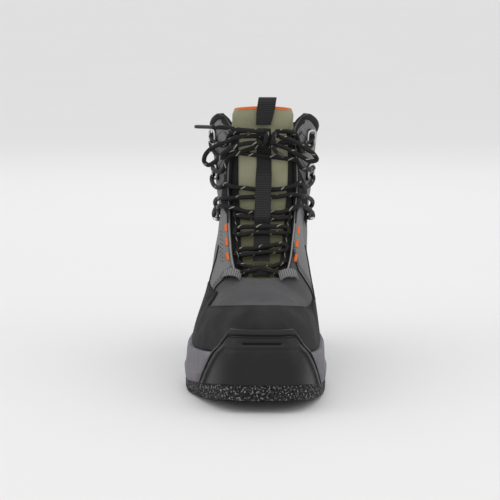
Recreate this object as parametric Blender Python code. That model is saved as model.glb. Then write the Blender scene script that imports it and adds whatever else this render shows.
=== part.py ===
"""A wading boot for the wearer's right foot, in metres, standing on its sole.

+Z is up, the toe points to -Y, the outer (lateral) side is -X and the inner (medial) side is +X.
The origin is the middle of the heel's flat on the floor.

The boot's skin is one function, skin(u, v). u runs round the foot: 0 at the toe, to -1 along the lateral
side and to +1 along the medial side, both at the back of the heel. v runs up a column of the upper, from
the feather line (0) to the top line (1). Every other piece takes its place from that skin.
"""

import functools
import math

import bmesh
import bpy
import numpy as np
from mathutils import Vector

# Driving sizes of the foot and shaft
SOLE_LENGTH = 0.308
BALL_WIDTH = 0.115
HEEL_WIDTH = 0.084
HEEL_BEHIND = 0.042
TOE_SPRING = 0.010
TOE_HEIGHT = 0.0735
INSTEP_HEIGHT = 0.087
PEAK_HEIGHT = 0.213
BACK_HEIGHT = 0.198
COLLAR_WIDTH = 0.091
ANKLE_WIDTH = 0.077
THROAT_WIDTH = 0.056

# Thicknesses and clearances
GAP = 0.0003
CUP_SEAT = 0.0006
RAND_SEAT = 0.0005
BUMPER_SEAT = 0.0018
TONGUE_SEAT = 0.0007
FACING_SEAT = 0.0009
TUCK_SEAT = 0.0012
WALL = 0.0022
COLLAR_PAD = 0.0085
FELT = 0.0118
FOREFOOT_BASE = 0.011
HEEL_BASE = 0.022
CUP_HEIGHT = 0.0165
SHANK_LIFT = 0.006
BUMPER = 0.0043
RAND = 0.0014
FACING = 0.0014
TONGUE = 0.0050
INSOLE = 0.0040
WEBBING_WIDTH = 0.0132
WEBBING = 0.0012
LACE = 0.0038
AGLET = 0.0032

# Mesh counts: rows up the upper, and stations along each side in the runs of STATION_RUNS
ROWS = 13
STATION_COUNTS = (8, 4, 8, 8)

# The sole, by share of its length behind the toe: middle and half width, floor clearance and thicknesses
# share, middle/BALL, half/BALL, half/HEEL, spring/TOE_SPRING, felt/FELT, heel stack, cup/CUP_HEIGHT
SOLE_ROWS = (
    (0.00, 0.040, 0.440, 0.000, 1.00, 1.00, 0.00, 0.80),
    (0.08, 0.030, 0.455, 0.000, 0.62, 1.00, 0.00, 0.80),
    (0.18, 0.005, 0.485, 0.000, 0.20, 0.90, 0.00, 0.88),
    (0.28, -0.022, 0.508, 0.000, 0.00, 0.76, 0.00, 0.98),
    (0.36, -0.030, 0.505, 0.000, 0.00, 0.74, 0.04, 1.00),
    (0.48, -0.034, 0.440, 0.030, 0.00, 0.84, 0.25, 0.95),
    (0.60, -0.026, 0.330, 0.110, 0.00, 0.95, 0.60, 0.90),
    (0.74, -0.008, 0.090, 0.390, 0.00, 1.00, 0.95, 0.92),
    (0.87, 0.000, 0.000, 0.505, 0.00, 1.00, 1.00, 1.00),
    (1.00, 0.000, 0.000, 0.490, 0.00, 1.00, 1.00, 1.05),
)
MIDDLE, HALF_BALL, HALF_HEEL, SPRING, FELT_SHARE, STACK, CUP = range(1, 8)
TOE_ROUND = 0.46
HEEL_ROUND = 0.40
INSET_TOE = 0.0083
INSET_SIDE = 0.0064

# The upper's columns, by |u|: where each ends on the top line, and how it rises there
# |u|, top y, top z, top middle x, top half width, over (1 curls over, 0 stands), belly, waist
UPPER_ROWS = (
    (0.000, -0.655 * SOLE_LENGTH, TOE_HEIGHT + 0.0020, 0.0030, 0, 1.00, 0.0000, 0),
    (0.100, -0.651 * SOLE_LENGTH, TOE_HEIGHT + 0.0024, 0.0029, 0, 1.00, 0.0000, 0),
    (0.180, -0.632 * SOLE_LENGTH, TOE_HEIGHT + 0.0038, 0.0026, 0, 1.00, 0.0000, 0),
    (0.270, -0.582 * SOLE_LENGTH, 0.4 * TOE_HEIGHT + 0.6 * INSTEP_HEIGHT, 0.0018, 0, 1.00, 0.0003, 0),
    (0.355, -0.517 * SOLE_LENGTH, INSTEP_HEIGHT, 0.0010, 0, 1.00, 0.0004, 0),
    (0.380, -0.510 * SOLE_LENGTH, INSTEP_HEIGHT + 0.001, 0.0010, 0.29 * THROAT_WIDTH, 0.98, 0.0004, 0),
    (0.420, -0.462 * SOLE_LENGTH, INSTEP_HEIGHT + 0.012, 0.0008, 0.40 * THROAT_WIDTH, 0.93, 0.0004, 0),
    (0.470, -0.402 * SOLE_LENGTH, 0.75 * INSTEP_HEIGHT + 0.25 * PEAK_HEIGHT, 0.0006,
     0.45 * THROAT_WIDTH, 0.80, 0.0004, 0),
    (0.520, -0.345 * SOLE_LENGTH, 0.60 * INSTEP_HEIGHT + 0.40 * PEAK_HEIGHT, 0.0005,
     0.48 * THROAT_WIDTH, 0.60, 0.0006, 0.01 * ANKLE_WIDTH),
    (0.560, -0.305 * SOLE_LENGTH, 0.43 * INSTEP_HEIGHT + 0.57 * PEAK_HEIGHT, 0.0005,
     0.50 * THROAT_WIDTH, 0.42, 0.0010, 0.01 * ANKLE_WIDTH),
    (0.600, -0.279 * SOLE_LENGTH, 0.25 * INSTEP_HEIGHT + 0.75 * PEAK_HEIGHT, 0.0005,
     0.49 * THROAT_WIDTH, 0.26, 0.0014, 0.012 * ANKLE_WIDTH),
    (0.630, -0.263 * SOLE_LENGTH, 0.10 * INSTEP_HEIGHT + 0.90 * PEAK_HEIGHT, 0.0005,
     0.46 * THROAT_WIDTH, 0.16, 0.0018, 0.015 * ANKLE_WIDTH),
    (0.655, -0.247 * SOLE_LENGTH, 0.03 * INSTEP_HEIGHT + 0.97 * PEAK_HEIGHT, 0.0005,
     0.33 * COLLAR_WIDTH, 0.08, 0.0020, 0.018 * ANKLE_WIDTH),
    (0.685, -0.214 * SOLE_LENGTH, PEAK_HEIGHT, 0.0005, 0.41 * COLLAR_WIDTH, 0.02, 0.0022, 0.02 * ANKLE_WIDTH),
    (0.750, -0.123 * SOLE_LENGTH, 0.5 * (PEAK_HEIGHT + BACK_HEIGHT), 0.0005,
     0.49 * COLLAR_WIDTH, 0.00, 0.0026, 0.027 * ANKLE_WIDTH),
    (0.850, 0.006 * SOLE_LENGTH, BACK_HEIGHT + 0.001, 0.0005, 0.455 * COLLAR_WIDTH, 0.00, 0.0034,
     0.04 * ANKLE_WIDTH),
    (0.940, 0.094 * SOLE_LENGTH, BACK_HEIGHT, 0.0003, 0.27 * COLLAR_WIDTH, 0.00, 0.0040, 0.06 * ANKLE_WIDTH),
    (1.000, 0.122 * SOLE_LENGTH, BACK_HEIGHT, 0.0000, 0, 0.00, 0.0045, 0.09 * ANKLE_WIDTH),
)
THROAT_U = 0.355
PEAK_U = 0.685
BUMPER_FOOT_U = 0.208
STATION_RUNS = (0, BUMPER_FOOT_U, THROAT_U, PEAK_U, 1)
TOE_FULLNESS = 0.82
LATERAL_LEAN = 0.0055


def smooth(rows, column, at):
    """One column of a table, as a curve that never overshoots its rows."""
    x = np.array([row[0] for row in rows], float)
    y = np.array([row[column] for row in rows], float)
    step = np.diff(x)
    slope = np.diff(y) / step
    same = slope[:-1] * slope[1:] > 0
    w0 = 2 * step[1:] + step[:-1]
    w1 = step[1:] + 2 * step[:-1]
    safe = np.where(same, slope[:-1], 1), np.where(same, slope[1:], 1)
    inner = np.where(same, (w0 + w1) / (w0 / safe[0] + w1 / safe[1]), 0)
    tangent = np.concatenate([[0], inner, [0]])
    at = np.clip(np.asarray(at, float), x[0], x[-1])
    i = np.clip(np.searchsorted(x, at) - 1, 0, len(x) - 2)
    t = (at - x[i]) / step[i]
    return (
        y[i] * (1 + 2 * t) * (1 - t) ** 2
        + tangent[i] * step[i] * t * (1 - t) ** 2
        + y[i + 1] * t * t * (3 - 2 * t)
        + tangent[i + 1] * step[i] * t * t * (t - 1)
    )


def mix(a, b, t):
    return a + (b - a) * t


def ease(t):
    t = np.clip(t, 0, 1)
    return t * t * (3 - 2 * t)


def stack(x, y, z):
    x, y, z = np.broadcast_arrays(x, y, z)
    return np.stack([x, y, z], axis=-1)


def unit(vectors):
    return vectors / np.linalg.norm(vectors, axis=-1, keepdims=True)


# Sole outline

def half_outline(side):
    """One side of the sole's outline from toe tip to heel tip, as dense points with their shares of its run."""
    turn = np.linspace(0, math.pi, 601)
    share = (1 - np.cos(turn)) / 2
    half = smooth(SOLE_ROWS, HALF_BALL, share) * BALL_WIDTH + smooth(SOLE_ROWS, HALF_HEEL, share) * HEEL_WIDTH
    end = np.sin(turn) ** mix(TOE_ROUND, HEEL_ROUND, ease(share))
    x = smooth(SOLE_ROWS, MIDDLE, share) * BALL_WIDTH + side * half * end
    y = HEEL_BEHIND - SOLE_LENGTH * (1 - share)
    run = np.concatenate([[0], np.cumsum(np.hypot(np.diff(x), np.diff(y)))])
    return x, y, run / run[-1]


OUTLINES = {side: half_outline(side) for side in (-1, 1)}


def wrap(u):
    """u past the back of the heel goes on round the other side."""
    return (np.asarray(u, float) + 1) % 2 - 1


def outline(u):
    """Plan point of the sole's outline at u."""
    u = wrap(u)
    found = []
    for side in (-1, 1):
        x, y, run = OUTLINES[side]
        found.append((np.interp(abs(u), run, x), np.interp(abs(u), run, y)))
    lateral = u < 0
    return np.where(lateral, found[0][0], found[1][0]), np.where(lateral, found[0][1], found[1][1])


def outward(u):
    """Plan direction straight out of the outline at u."""
    step = 0.012
    x0, y0 = outline(np.asarray(u) - step)
    x1, y1 = outline(np.asarray(u) + step)
    length = np.hypot(x1 - x0, y1 - y0)
    return (y1 - y0) / length, -(x1 - x0) / length


def sole_share(u):
    """Share of the sole's length behind the toe tip, at u."""
    return 1 - (HEEL_BEHIND - outline(u)[1]) / SOLE_LENGTH


def tread_z(share):
    return TOE_SPRING * smooth(SOLE_ROWS, SPRING, share)


def felt_top(share):
    return tread_z(share) + FELT * smooth(SOLE_ROWS, FELT_SHARE, share)


def footbed(share):
    """Height of the midsole's floor, under the upper."""
    return felt_top(share) + mix(FOREFOOT_BASE, HEEL_BASE, smooth(SOLE_ROWS, STACK, share))


def cup_top(share):
    return footbed(share) + CUP_HEIGHT * smooth(SOLE_ROWS, CUP, share)


def inset(u):
    """How far the feather line lies inside the sole's outline."""
    return mix(INSET_TOE, INSET_SIDE, ease((abs(wrap(u)) - 0.10) / 0.16))


def feather(u):
    x, y = outline(u)
    out_x, out_y = outward(u)
    depth = inset(u)
    return stack(x - depth * out_x, y - depth * out_y, footbed(sole_share(u)) + GAP)


# Upper

def skin(u, v):
    """Point on the upper's outer surface."""
    u, v = np.broadcast_arrays(wrap(u), np.asarray(v, float))
    around = abs(u)
    low = feather(u)
    value = [smooth(UPPER_ROWS, column, around) for column in range(1, len(UPPER_ROWS[0]))]
    top_y, top_z, middle, half, over, belly, waist = value
    top = stack(middle + np.where(u < 0, -1, 1) * half, top_y, top_z)
    angle = np.clip(v, 0, 1) * math.pi / 2
    inward = mix(v, 1 - np.cos(angle) ** TOE_FULLNESS, over)[..., None]
    rise = mix(v, np.sin(angle) ** TOE_FULLNESS, over)[..., None]
    out_x, out_y = outward(u)
    swell = belly * np.exp(-(((v - 0.10) / 0.10) ** 2)) - waist * np.exp(-(((v - 0.52) / 0.20) ** 2))
    lean = LATERAL_LEAN * np.exp(-(((around - 0.46) / 0.10) ** 2)) * np.exp(-(((v - 0.42) / 0.24) ** 2))
    swell = (swell - lean * (u < 0)) * ease(v / 0.06) * ease((1 - v) / 0.12)
    point = low * (1 - inward) + top * inward
    point[..., 2] = (low * (1 - rise) + top * rise)[..., 2]
    return point + stack(swell * out_x, swell * out_y, 0)


def skin_normal(u, v):
    """Outward direction of the skin. On the ridge, where both sides meet, it is the mean of the two."""
    u, v = np.broadcast_arrays(wrap(u), np.asarray(v, float))

    def one(side_u):
        near = np.clip(v, 0.004, 0.975)
        along = skin(side_u + 0.004, near) - skin(side_u - 0.004, near)
        up = skin(side_u, near + 0.01) - skin(side_u, near - 0.004)
        return unit(np.cross(along, up))

    normal = one(u)
    ridge = (abs(u) <= THROAT_U) & (v > 0.97)
    return np.where(ridge[..., None], unit(normal + one(-u)), normal)


def wall(u, v):
    """Thickness of the upper: its plain wall, and the padded collar."""
    height = skin(u, v)[..., 2] / BACK_HEIGHT
    return mix(WALL, COLLAR_PAD, ease((height - 0.80) / 0.12) * ease((abs(wrap(u)) - 0.66) / 0.07))


def off_skin(u, v, distance):
    return skin(u, v) + skin_normal(u, v) * np.asarray(distance)[..., None]


def share_at(u, height, tilt=0.0):
    """The v at which each column of the skin meets the plane z + tilt * y = height."""
    dense = np.linspace(0, 1, 201)
    found = []
    for one, level in zip(*np.broadcast_arrays(np.ravel(u), np.ravel(height))):
        points = skin(np.full_like(dense, one), dense)
        found.append(np.interp(level, points[:, 2] + tilt * points[:, 1], dense))
    return np.array(found)


# Mesh helpers

def finish(name, bm, colour, roughness, metallic=0.0, angle=35):
    """One object from a bmesh, with its own material, shaded smooth."""
    bmesh.ops.remove_doubles(bm, verts=bm.verts, dist=1e-6)
    bmesh.ops.recalc_face_normals(bm, faces=bm.faces)
    mesh = bpy.data.meshes.new(name)
    bm.to_mesh(mesh)
    bm.free()
    mesh.shade_smooth()
    mesh.set_sharp_from_angle(angle=math.radians(angle))
    obj = bpy.data.objects.new(name, mesh)
    bpy.context.scene.collection.objects.link(obj)
    dress(obj, name, colour, roughness, metallic)
    return obj


def dress(obj, name, colour, roughness, metallic):
    material = bpy.data.materials.new(name)
    material.use_nodes = True
    shader = material.node_tree.nodes["Principled BSDF"]
    shader.inputs["Base Color"].default_value = (*colour, 1)
    shader.inputs["Roughness"].default_value = roughness
    shader.inputs["Metallic"].default_value = metallic
    obj.data.materials.append(material)


def face(bm, corners):
    """A face of these corners, those in the same place counted once."""
    kept = []
    for corner in corners:
        if all((corner.co - other.co).length > 1e-7 for other in kept):
            kept.append(corner)
    if len(kept) > 2:
        bm.faces.new(kept)


def grid_verts(bm, points):
    return [[bm.verts.new(Vector(point)) for point in line] for line in points]


def sheet_solid(outer, inner, closed=False, rim=None):
    """A bmesh of two grids of points, joined round their edges. rim[i] says where the top edge is open."""
    bm = bmesh.new()
    out, into = grid_verts(bm, outer), grid_verts(bm, inner)
    count, rows = len(out), len(out[0])
    for i in range(count if closed else count - 1):
        j = (i + 1) % count
        for k in range(rows - 1):
            face(bm, (out[i][k], out[j][k], out[j][k + 1], out[i][k + 1]))
            face(bm, (into[i][k], into[i][k + 1], into[j][k + 1], into[j][k]))
        face(bm, (out[j][0], out[i][0], into[i][0], into[j][0]))
        if rim is None or (rim[i] and rim[j]):
            face(bm, (out[i][-1], out[j][-1], into[j][-1], into[i][-1]))
    if not closed:
        for k in range(rows - 1):
            face(bm, (out[0][k], out[0][k + 1], into[0][k + 1], into[0][k]))
            face(bm, (out[-1][k + 1], out[-1][k], into[-1][k], into[-1][k + 1]))
    return bm


def loft_solid(rings, caps=True):
    """A bmesh of closed rings of points, one after another, capped at both ends."""
    bm = bmesh.new()
    lines = grid_verts(bm, rings)
    size = len(lines[0])
    for first, second in zip(lines[:-1], lines[1:]):
        for k in range(size):
            face(bm, (first[k], first[(k + 1) % size], second[(k + 1) % size], second[k]))
    if caps:
        face(bm, lines[0][::-1])
        face(bm, lines[-1])
    return bm


def patch(u, v, under, over):
    """Outer and inner grids of a piece that lies on the skin, over the grids u and v."""
    return off_skin(u, v, np.broadcast_to(over, np.shape(u))), off_skin(u, v, np.broadcast_to(under, np.shape(u)))


# Sole

BUMPER_HEAD_U = 0.087
BUMPER_HEIGHT = 0.0598
SIGHT_TILT = 0.174
BORDER = 0.007
HALF_RUN = 0.335


def bumper_edge(height_share):
    """|u| of the bumper's side edge, from its foot (0) to its head (1)."""
    return mix(BUMPER_FOOT_U, BUMPER_HEAD_U, height_share)


def midsole_level(u, height):
    """Share of the midsole's side height, at u."""
    share = sole_share(u)
    bottom = midsole_bottom(u, share)
    return (height - bottom) / (cup_top(share) - bottom)


def midsole_offset(u, height):
    """Distance of the midsole's side outside the feather line: flared, and set back behind the bumper."""
    level = midsole_level(u, height)
    flare = np.interp(level, (0, 0.30, 0.36, 0.62, 0.92, 1), (0, 0.0006, -0.0006, -0.0012, -0.0016, -0.0026))
    share = (height - felt_top(sole_share(u))) / (BUMPER_HEIGHT - felt_top(sole_share(u)))
    covered = ease((bumper_edge(share) + 0.026 - abs(wrap(u))) / 0.026)
    return inset(u) + flare * (1 - covered) - (BUMPER + GAP) * covered


def foot_side(u, height):
    """Point and outward direction on the skin at a height, carried straight down below the feather line."""
    low = feather(u)
    v = share_at(u, height)
    above = (height > low[..., 2])[..., None]
    point = np.where(above, skin(u, v), low)
    point[..., 2] = height
    normal = np.where(above, skin_normal(u, v), stack(*outward(u), 0))
    return point, normal


def loop_stations():
    """u of every station round the boot, toe first, out along the lateral side and back along the medial."""
    side = side_stations()
    return np.concatenate([-side, side[-2:0:-1]])


def side_stations():
    """|u| of the stations of one side: closer round the toe, one on the throat's lowest point, one on the peak."""
    runs = zip(STATION_RUNS[:-1], STATION_RUNS[1:], STATION_COUNTS)
    return np.concatenate([[0]] + [np.linspace(start, end, count + 1)[1:] for start, end, count in runs])


def midsole_section(u):
    """The midsole's side at every station: from its lower edge, up, over the cup's edge and down to its floor."""
    share = sole_share(u)
    bottom, top = midsole_bottom(u, share), cup_top(share)
    points = []
    for level in (0, 0.30, 0.36, 0.62, 0.92, 1):
        height = mix(bottom, top, level)
        point, normal = foot_side(u, height)
        flat = unit(normal * (1, 1, 0))
        spot = point + flat * midsole_offset(u, height)[..., None]
        spot[..., 2] = height
        points.append(spot)
    lip = share_at(u, top)
    for level in LEVELS[CUP_ROWS::-1]:
        spot = off_skin(u, np.minimum(level, lip), CUP_SEAT)
        if level == 0:
            spot[..., 2] = footbed(share)
        points.append(spot)
    return np.stack(points, axis=1)


LEVELS = np.linspace(0, 1, ROWS + 1)
CUP_ROWS = 5


def midsole_bottom(u, share):
    """Height of the midsole's lower edge: on the felts, and lifted under the arch between them."""
    arch = ease((share - FELT_BREAK[0]) / 0.03) * ease((FELT_BREAK[1] - share) / 0.03)
    return felt_top(share) + GAP + SHANK_LIFT * arch


FELT_BREAK = (0.575, 0.685)


def build_midsole():
    """Cup-shaped midsole: its side wall, floor and underside."""
    section = midsole_section(loop_stations())
    bm = bmesh.new()
    lines = grid_verts(bm, section)
    count = len(lines)
    for i in range(count):
        j = (i + 1) % count
        for k in range(len(lines[0]) - 1):
            face(bm, (lines[i][k], lines[j][k], lines[j][k + 1], lines[i][k + 1]))
    for i in range(count // 2):
        lateral, medial = (i, i + 1), ((count - i) % count, count - i - 1)
        face(bm, (lines[lateral[0]][0], lines[medial[0]][0], lines[medial[1]][0], lines[lateral[1]][0]))
        face(bm, (lines[lateral[0]][-1], lines[lateral[1]][-1], lines[medial[1]][-1], lines[medial[0]][-1]))
    return finish("midsole", bm, (0.17, 0.16, 0.18), 0.6)


def felt_ring(share, setback):
    """Cross-section of a felt pad at a share of the sole's length."""
    half_turn = math.acos(1 - 2 * share)
    half = smooth(SOLE_ROWS, HALF_BALL, share) * BALL_WIDTH + smooth(SOLE_ROWS, HALF_HEEL, share) * HEEL_WIDTH
    half = half * math.sin(half_turn) ** mix(TOE_ROUND, HEEL_ROUND, ease(share)) - setback
    middle = smooth(SOLE_ROWS, MIDDLE, share) * BALL_WIDTH
    y = HEEL_BEHIND - SOLE_LENGTH * (1 - share)
    low, high = tread_z(share), felt_top(share)
    soft = min(0.0015, half / 2)
    return [
        (middle - half + soft, y, low), (middle + half - soft, y, low), (middle + half, y, low + soft),
        (middle + half, y, high), (middle - half, y, high), (middle - half, y, low + soft),
    ]


def build_felt(name, start, end, count):
    """A pad of felt under the midsole between two shares of the sole's length."""
    turn = np.linspace(math.acos(1 - 2 * start), math.acos(1 - 2 * end), count)
    rings = [felt_ring((1 - math.cos(angle)) / 2, 0.0004) for angle in turn]
    return finish(name, loft_solid(rings), (0.028, 0.028, 0.030), 0.95)


def midsole_face(u, height):
    """Point on the midsole's side between its stations, as its flat facets have it, and the direction out."""
    side = side_stations()
    all_stations = np.concatenate([-side[:0:-1], side])
    i = np.clip(np.searchsorted(all_stations, u) - 1, 0, len(all_stations) - 2)
    ends = []
    for station in (all_stations[i], all_stations[i + 1]):
        point, normal = foot_side(station, height)
        flat = unit(normal * (1, 1, 0))
        ends.append(point + flat * midsole_offset(station, height)[..., None])
    share = ((u - all_stations[i]) / (all_stations[i + 1] - all_stations[i]))[..., None]
    return mix(ends[0], ends[1], share)


def bumper_line(b):
    """Inner and outer points of the bumper across its shield shape, at a share b of its height."""
    edge = bumper_edge(b)
    side = side_stations()
    side = side[side <= BUMPER_FOOT_U]
    marks = edge - np.array([0.0, 0.0015, BORDER, BORDER + 0.0025]) / HALF_RUN
    half = np.sort(np.concatenate([np.clip(side[1:], 0, edge), marks[1:]]))
    u = np.concatenate([-half[::-1], [0], half])
    share = sole_share(u)
    height = mix(felt_top(share) + GAP, BUMPER_HEIGHT, b)
    point, normal = foot_side(u, height)
    above = ease((height - cup_top(share) - 0.0005) / 0.005)
    normal = unit(normal * stack(1, 1, above))
    low = midsole_face(u, height) + normal * BUMPER_SEAT
    high = point + normal * (RAND_SEAT + RAND + BUMPER_SEAT)
    under = mix(low, high, above[..., None])
    from_edge = np.minimum((edge - abs(u)) * HALF_RUN, (1 - b) * (BUMPER_HEIGHT - TOE_SPRING - FELT))
    border = 1 - ease((from_edge - BORDER) / 0.0025)
    thick = mix(BUMPER, 0.65 * BUMPER, above) * (0.70 + 0.38 * border) * (0.6 + 0.4 * ease(from_edge / 0.0015))
    return under, under + normal * thick[..., None]


def build_bumper():
    """Toe bumper: a thick moulded shield with a raised border round a recessed face."""
    up = (0, 0.12, 0.25, 0.38, 0.50, 0.60, 0.70, 0.77, 0.83, 0.95, 1)
    lines = [bumper_line(b) for b in up]
    inner = np.array([line[0] for line in lines]).transpose(1, 0, 2)
    outer = np.array([line[1] for line in lines]).transpose(1, 0, 2)
    return finish("toe_bumper", sheet_solid(outer, inner), (0.012, 0.012, 0.013), 0.38)


def build_insole():
    """Insole: a flat footbed inside the upper, on the midsole's floor."""
    rings = []
    for along in side_stations()[1:-1]:
        ring = []
        for u, lift in ((-along, GAP), (along, GAP), (along, INSOLE + GAP), (-along, INSOLE + GAP)):
            spot = feather(u)
            out_x, out_y = outward(u)
            depth = WALL + 0.0012
            share = sole_share(u)
            ring.append((spot[0] - depth * out_x, spot[1] - depth * out_y, footbed(share) + lift))
        rings.append(ring)
    return finish("insole", loft_solid(rings), (0.06, 0.06, 0.06), 0.9)


# Upper and what lies on it

def build_upper():
    """The lasted upper: one hollow wall, closed over the vamp, open at the throat, collar and underneath."""
    stations = loop_stations()
    u, v = np.meshgrid(stations, LEVELS, indexing="ij")
    outer = skin(u, v)
    inner = off_skin(u, v, -wall(u, v))
    inner[:, 0, 2] = outer[:, 0, 2]
    rim = abs(stations) >= THROAT_U
    return finish("upper", sheet_solid(outer, inner, closed=True, rim=rim), (0.16, 0.16, 0.165), 0.75)


RAND_ROWS = (
    # |u|, height of the rand's top edge above the tilted line of its front, as a share of TOE_HEIGHT
    (0.00, 0.00),
    (0.34, 0.00),
    (0.44, 0.14),
    (0.50, 0.17),
    (0.60, 0.14),
)
RAND_END_U = 0.60
RAND_FRONT = 0.494


def rand_top(u):
    """v of the rand's top edge: one tilted plane over the toe, then climbing a little along the side."""
    height = (RAND_FRONT + smooth(RAND_ROWS, 1, abs(u))) * TOE_HEIGHT
    return np.clip(share_at(u, height, SIGHT_TILT), 0, 1)


def overlay(name, stations, low, high, colour, roughness):
    """A thin piece on the skin between the v of its lower and upper edges, with the upper's own facets."""
    u = np.repeat(stations[:, None], len(LEVELS), axis=1)
    v = np.clip(LEVELS[None, :], low[:, None], high[:, None])
    return finish(name, sheet_solid(*patch(u, v, RAND_SEAT, RAND_SEAT + RAND)), colour, roughness)


def build_rand():
    """Rand: a rubbery band over the lower upper, from one side of the arch round the toe to the other."""
    side = side_stations()
    side = side[side <= RAND_END_U]
    stations = np.concatenate([-side[::-1], side[1:]])
    low = share_at(stations, cup_top(sole_share(stations)) + GAP)
    return overlay("rand", stations, low, rand_top(stations), (0.030, 0.031, 0.032), 0.8)


COUNTER_ROWS = (
    # |u|, height of the counter's top edge as a share of BACK_HEIGHT
    (0.63, 0.30),
    (0.74, 0.31),
    (0.86, 0.40),
    (1.00, 0.50),
)


def build_counter():
    """Heel counter: a stiff overlay round the back, highest at the middle of the heel."""
    side = side_stations()
    side = side[side > RAND_END_U]
    stations = np.concatenate([side, 2 - side[-2::-1]])
    low = share_at(stations, cup_top(sole_share(stations)) + GAP)
    high = share_at(stations, smooth(COUNTER_ROWS, 1, abs(wrap(stations))) * BACK_HEIGHT)
    return overlay("heel_counter", stations, low, high, (0.030, 0.031, 0.032), 0.8)


# Throat: the surface that would close it, and the pieces that lie on that surface

THROAT_TOP_U = 0.630
BRIDGE_FULL = 0.75
TONGUE_RISE = 0.0178
TONGUE_ROWS = 14
TONGUE_CORNER = 0.0048
TONGUE_ROOT, TONGUE_ROOT_DROP, TONGUE_ROOT_WIDTH = 0.012, 0.40, 0.72
TONGUE_TOP_ROWS = (
    # share of TONGUE_RISE, width against the throat's top
    (0.35, 1.10),
    (0.75, 1.26),
    (1.00, 1.19),
)
FACING_WIDTH = 0.0085
FACING_TUCK = 0.07
WEB_ARCH = 0.0056


def throat_edge(u, side):
    """Edge point of the throat and the direction across it, on the given side."""
    step = 0.006
    one = side * np.asarray(u, float)
    point = skin(one, np.ones_like(one))
    along = unit(skin(one + side * step, np.ones_like(one)) - skin(one - side * step, np.ones_like(one)))
    return point, side * unit(np.cross(skin_normal(one, np.full_like(one, 0.97)), along))


def bridge(level, a):
    """The surface across the throat: level runs up it (0 to 1), a from the lateral edge (0) to the medial (1)."""
    level, a = np.broadcast_arrays(np.asarray(level, float), np.asarray(a, float))
    u = mix(THROAT_U + 0.02, THROAT_TOP_U, level)
    left, from_left = throat_edge(u, -1)
    right, from_right = throat_edge(u, 1)
    pull = BRIDGE_FULL * np.linalg.norm(right - left, axis=-1, keepdims=True)
    t = a[..., None]
    return (
        left * (1 + 2 * t) * (1 - t) ** 2
        + from_left * pull * t * (1 - t) ** 2
        + right * t * t * (3 - 2 * t)
        + from_right * pull * t * t * (1 - t)
    )


def bridge_normal(level, a):
    level, a = np.broadcast_arrays(np.clip(level, 0.01, 0.99), np.asarray(a, float))
    across = bridge(level, a + 0.01) - bridge(level, a - 0.01)
    up = bridge(level + 0.01, a) - bridge(level - 0.01, a)
    return unit(np.cross(across, up))


def throat_grid(levels, places, depth):
    """Points across the throat at each level, a depth below its surface, one line up the throat for each place.

    A place is (side, share): side 0 lies on the bridge at a = share, sides -1 and 1 lie under the upper
    at v = share.
    """
    levels = np.asarray(levels, float)
    depth = np.broadcast_to(depth, levels.shape)
    u = mix(THROAT_U + 0.02, THROAT_TOP_U, levels)
    lines = []
    for side, share in places:
        share = np.broadcast_to(share, levels.shape)
        if side:
            lines.append(off_skin(side * u, share, -depth - TUCK_SEAT))
        else:
            lines.append(bridge(levels, share) - depth[:, None] * bridge_normal(levels, share))
    return np.array(lines)


def throat_width(levels):
    return np.linalg.norm(bridge(levels, 1.0) - bridge(levels, 0.0), axis=-1)


TONGUE_DEPTH = WALL + FACING_SEAT + FACING + TONGUE_SEAT


def webbing_places(levels):
    """Shares across the throat of the webbing's five lines, which the tongue has too."""
    reach = np.linalg.norm(bridge(levels, 0.52) - bridge(levels, 0.48), axis=-1) / 0.04
    half = WEBBING_WIDTH / 2 / reach
    return [(0, 0.5 + share * half) for share in (-1, -0.5, 0, 0.5, 1)]


@functools.lru_cache(maxsize=None)
def tongue_sheet(depth):
    """Grid of the tongue at a depth below the throat's surface: rows up to the throat's top, then on above it."""
    levels = np.linspace(0, 1, TONGUE_ROWS)
    left = [(-1, 0.90), (-1, 0.96), (0, 0.08), (0, 0.20)]
    right = [(0, 0.80), (0, 0.92), (1, 0.96), (1, 0.90)]
    lines = throat_grid(levels, left + webbing_places(levels) + right, depth)
    rows = list(lines.transpose(1, 0, 2))
    root = rows[0] * (TONGUE_ROOT_WIDTH, 1, 1) + (0, -TONGUE_ROOT, -TONGUE_ROOT_DROP * TONGUE_ROOT)
    rows.insert(0, root)
    top = rows[-1]
    middle_x = top[:, 0].mean()
    for share, wide in TONGUE_TOP_ROWS:
        row = top + np.array([0, -0.10, 1]) * TONGUE_RISE * share
        row[:, 0] = middle_x + (row[:, 0] - middle_x) * wide
        rows.append(row)
    from_side = np.minimum(np.arange(len(top)), len(top) - 1 - np.arange(len(top)))
    rows[-1][:, 2] -= TONGUE_CORNER * np.clip(1 - from_side / 2, 0, 1)
    return np.array(rows).transpose(1, 0, 2)


def build_tongue():
    """Padded tongue: fills the throat from under its edges and stands above the collar."""
    outer = tongue_sheet(TONGUE_DEPTH)
    inner = tongue_sheet(TONGUE_DEPTH + TONGUE)
    return finish("tongue", sheet_solid(outer, inner), (0.30, 0.30, 0.20), 0.8)


def build_facing(name, side):
    """Facing: the black strip that carries the lace, under one edge of the throat and standing out from it."""
    levels = np.linspace(0.02, 1, TONGUE_ROWS)
    reach = FACING_WIDTH / throat_width(levels)
    places = [(side, 1 - FACING_TUCK), (side, 0.96)]
    places += [(0, share if side < 0 else 1 - share) for share in (0 * reach, reach / 2, reach)]
    sheets = [throat_grid(levels, places, depth) for depth in (WALL + FACING_SEAT, WALL + FACING_SEAT + FACING)]
    return finish(name, sheet_solid(*sheets), (0.02, 0.02, 0.021), 0.8)


def webbing_arch(levels):
    """Lift of the webbing off the tongue, where the lace passes behind it."""
    return WEB_ARCH * ease((levels - 0.43) / 0.045) * ease((0.82 - levels) / 0.10)


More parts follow.
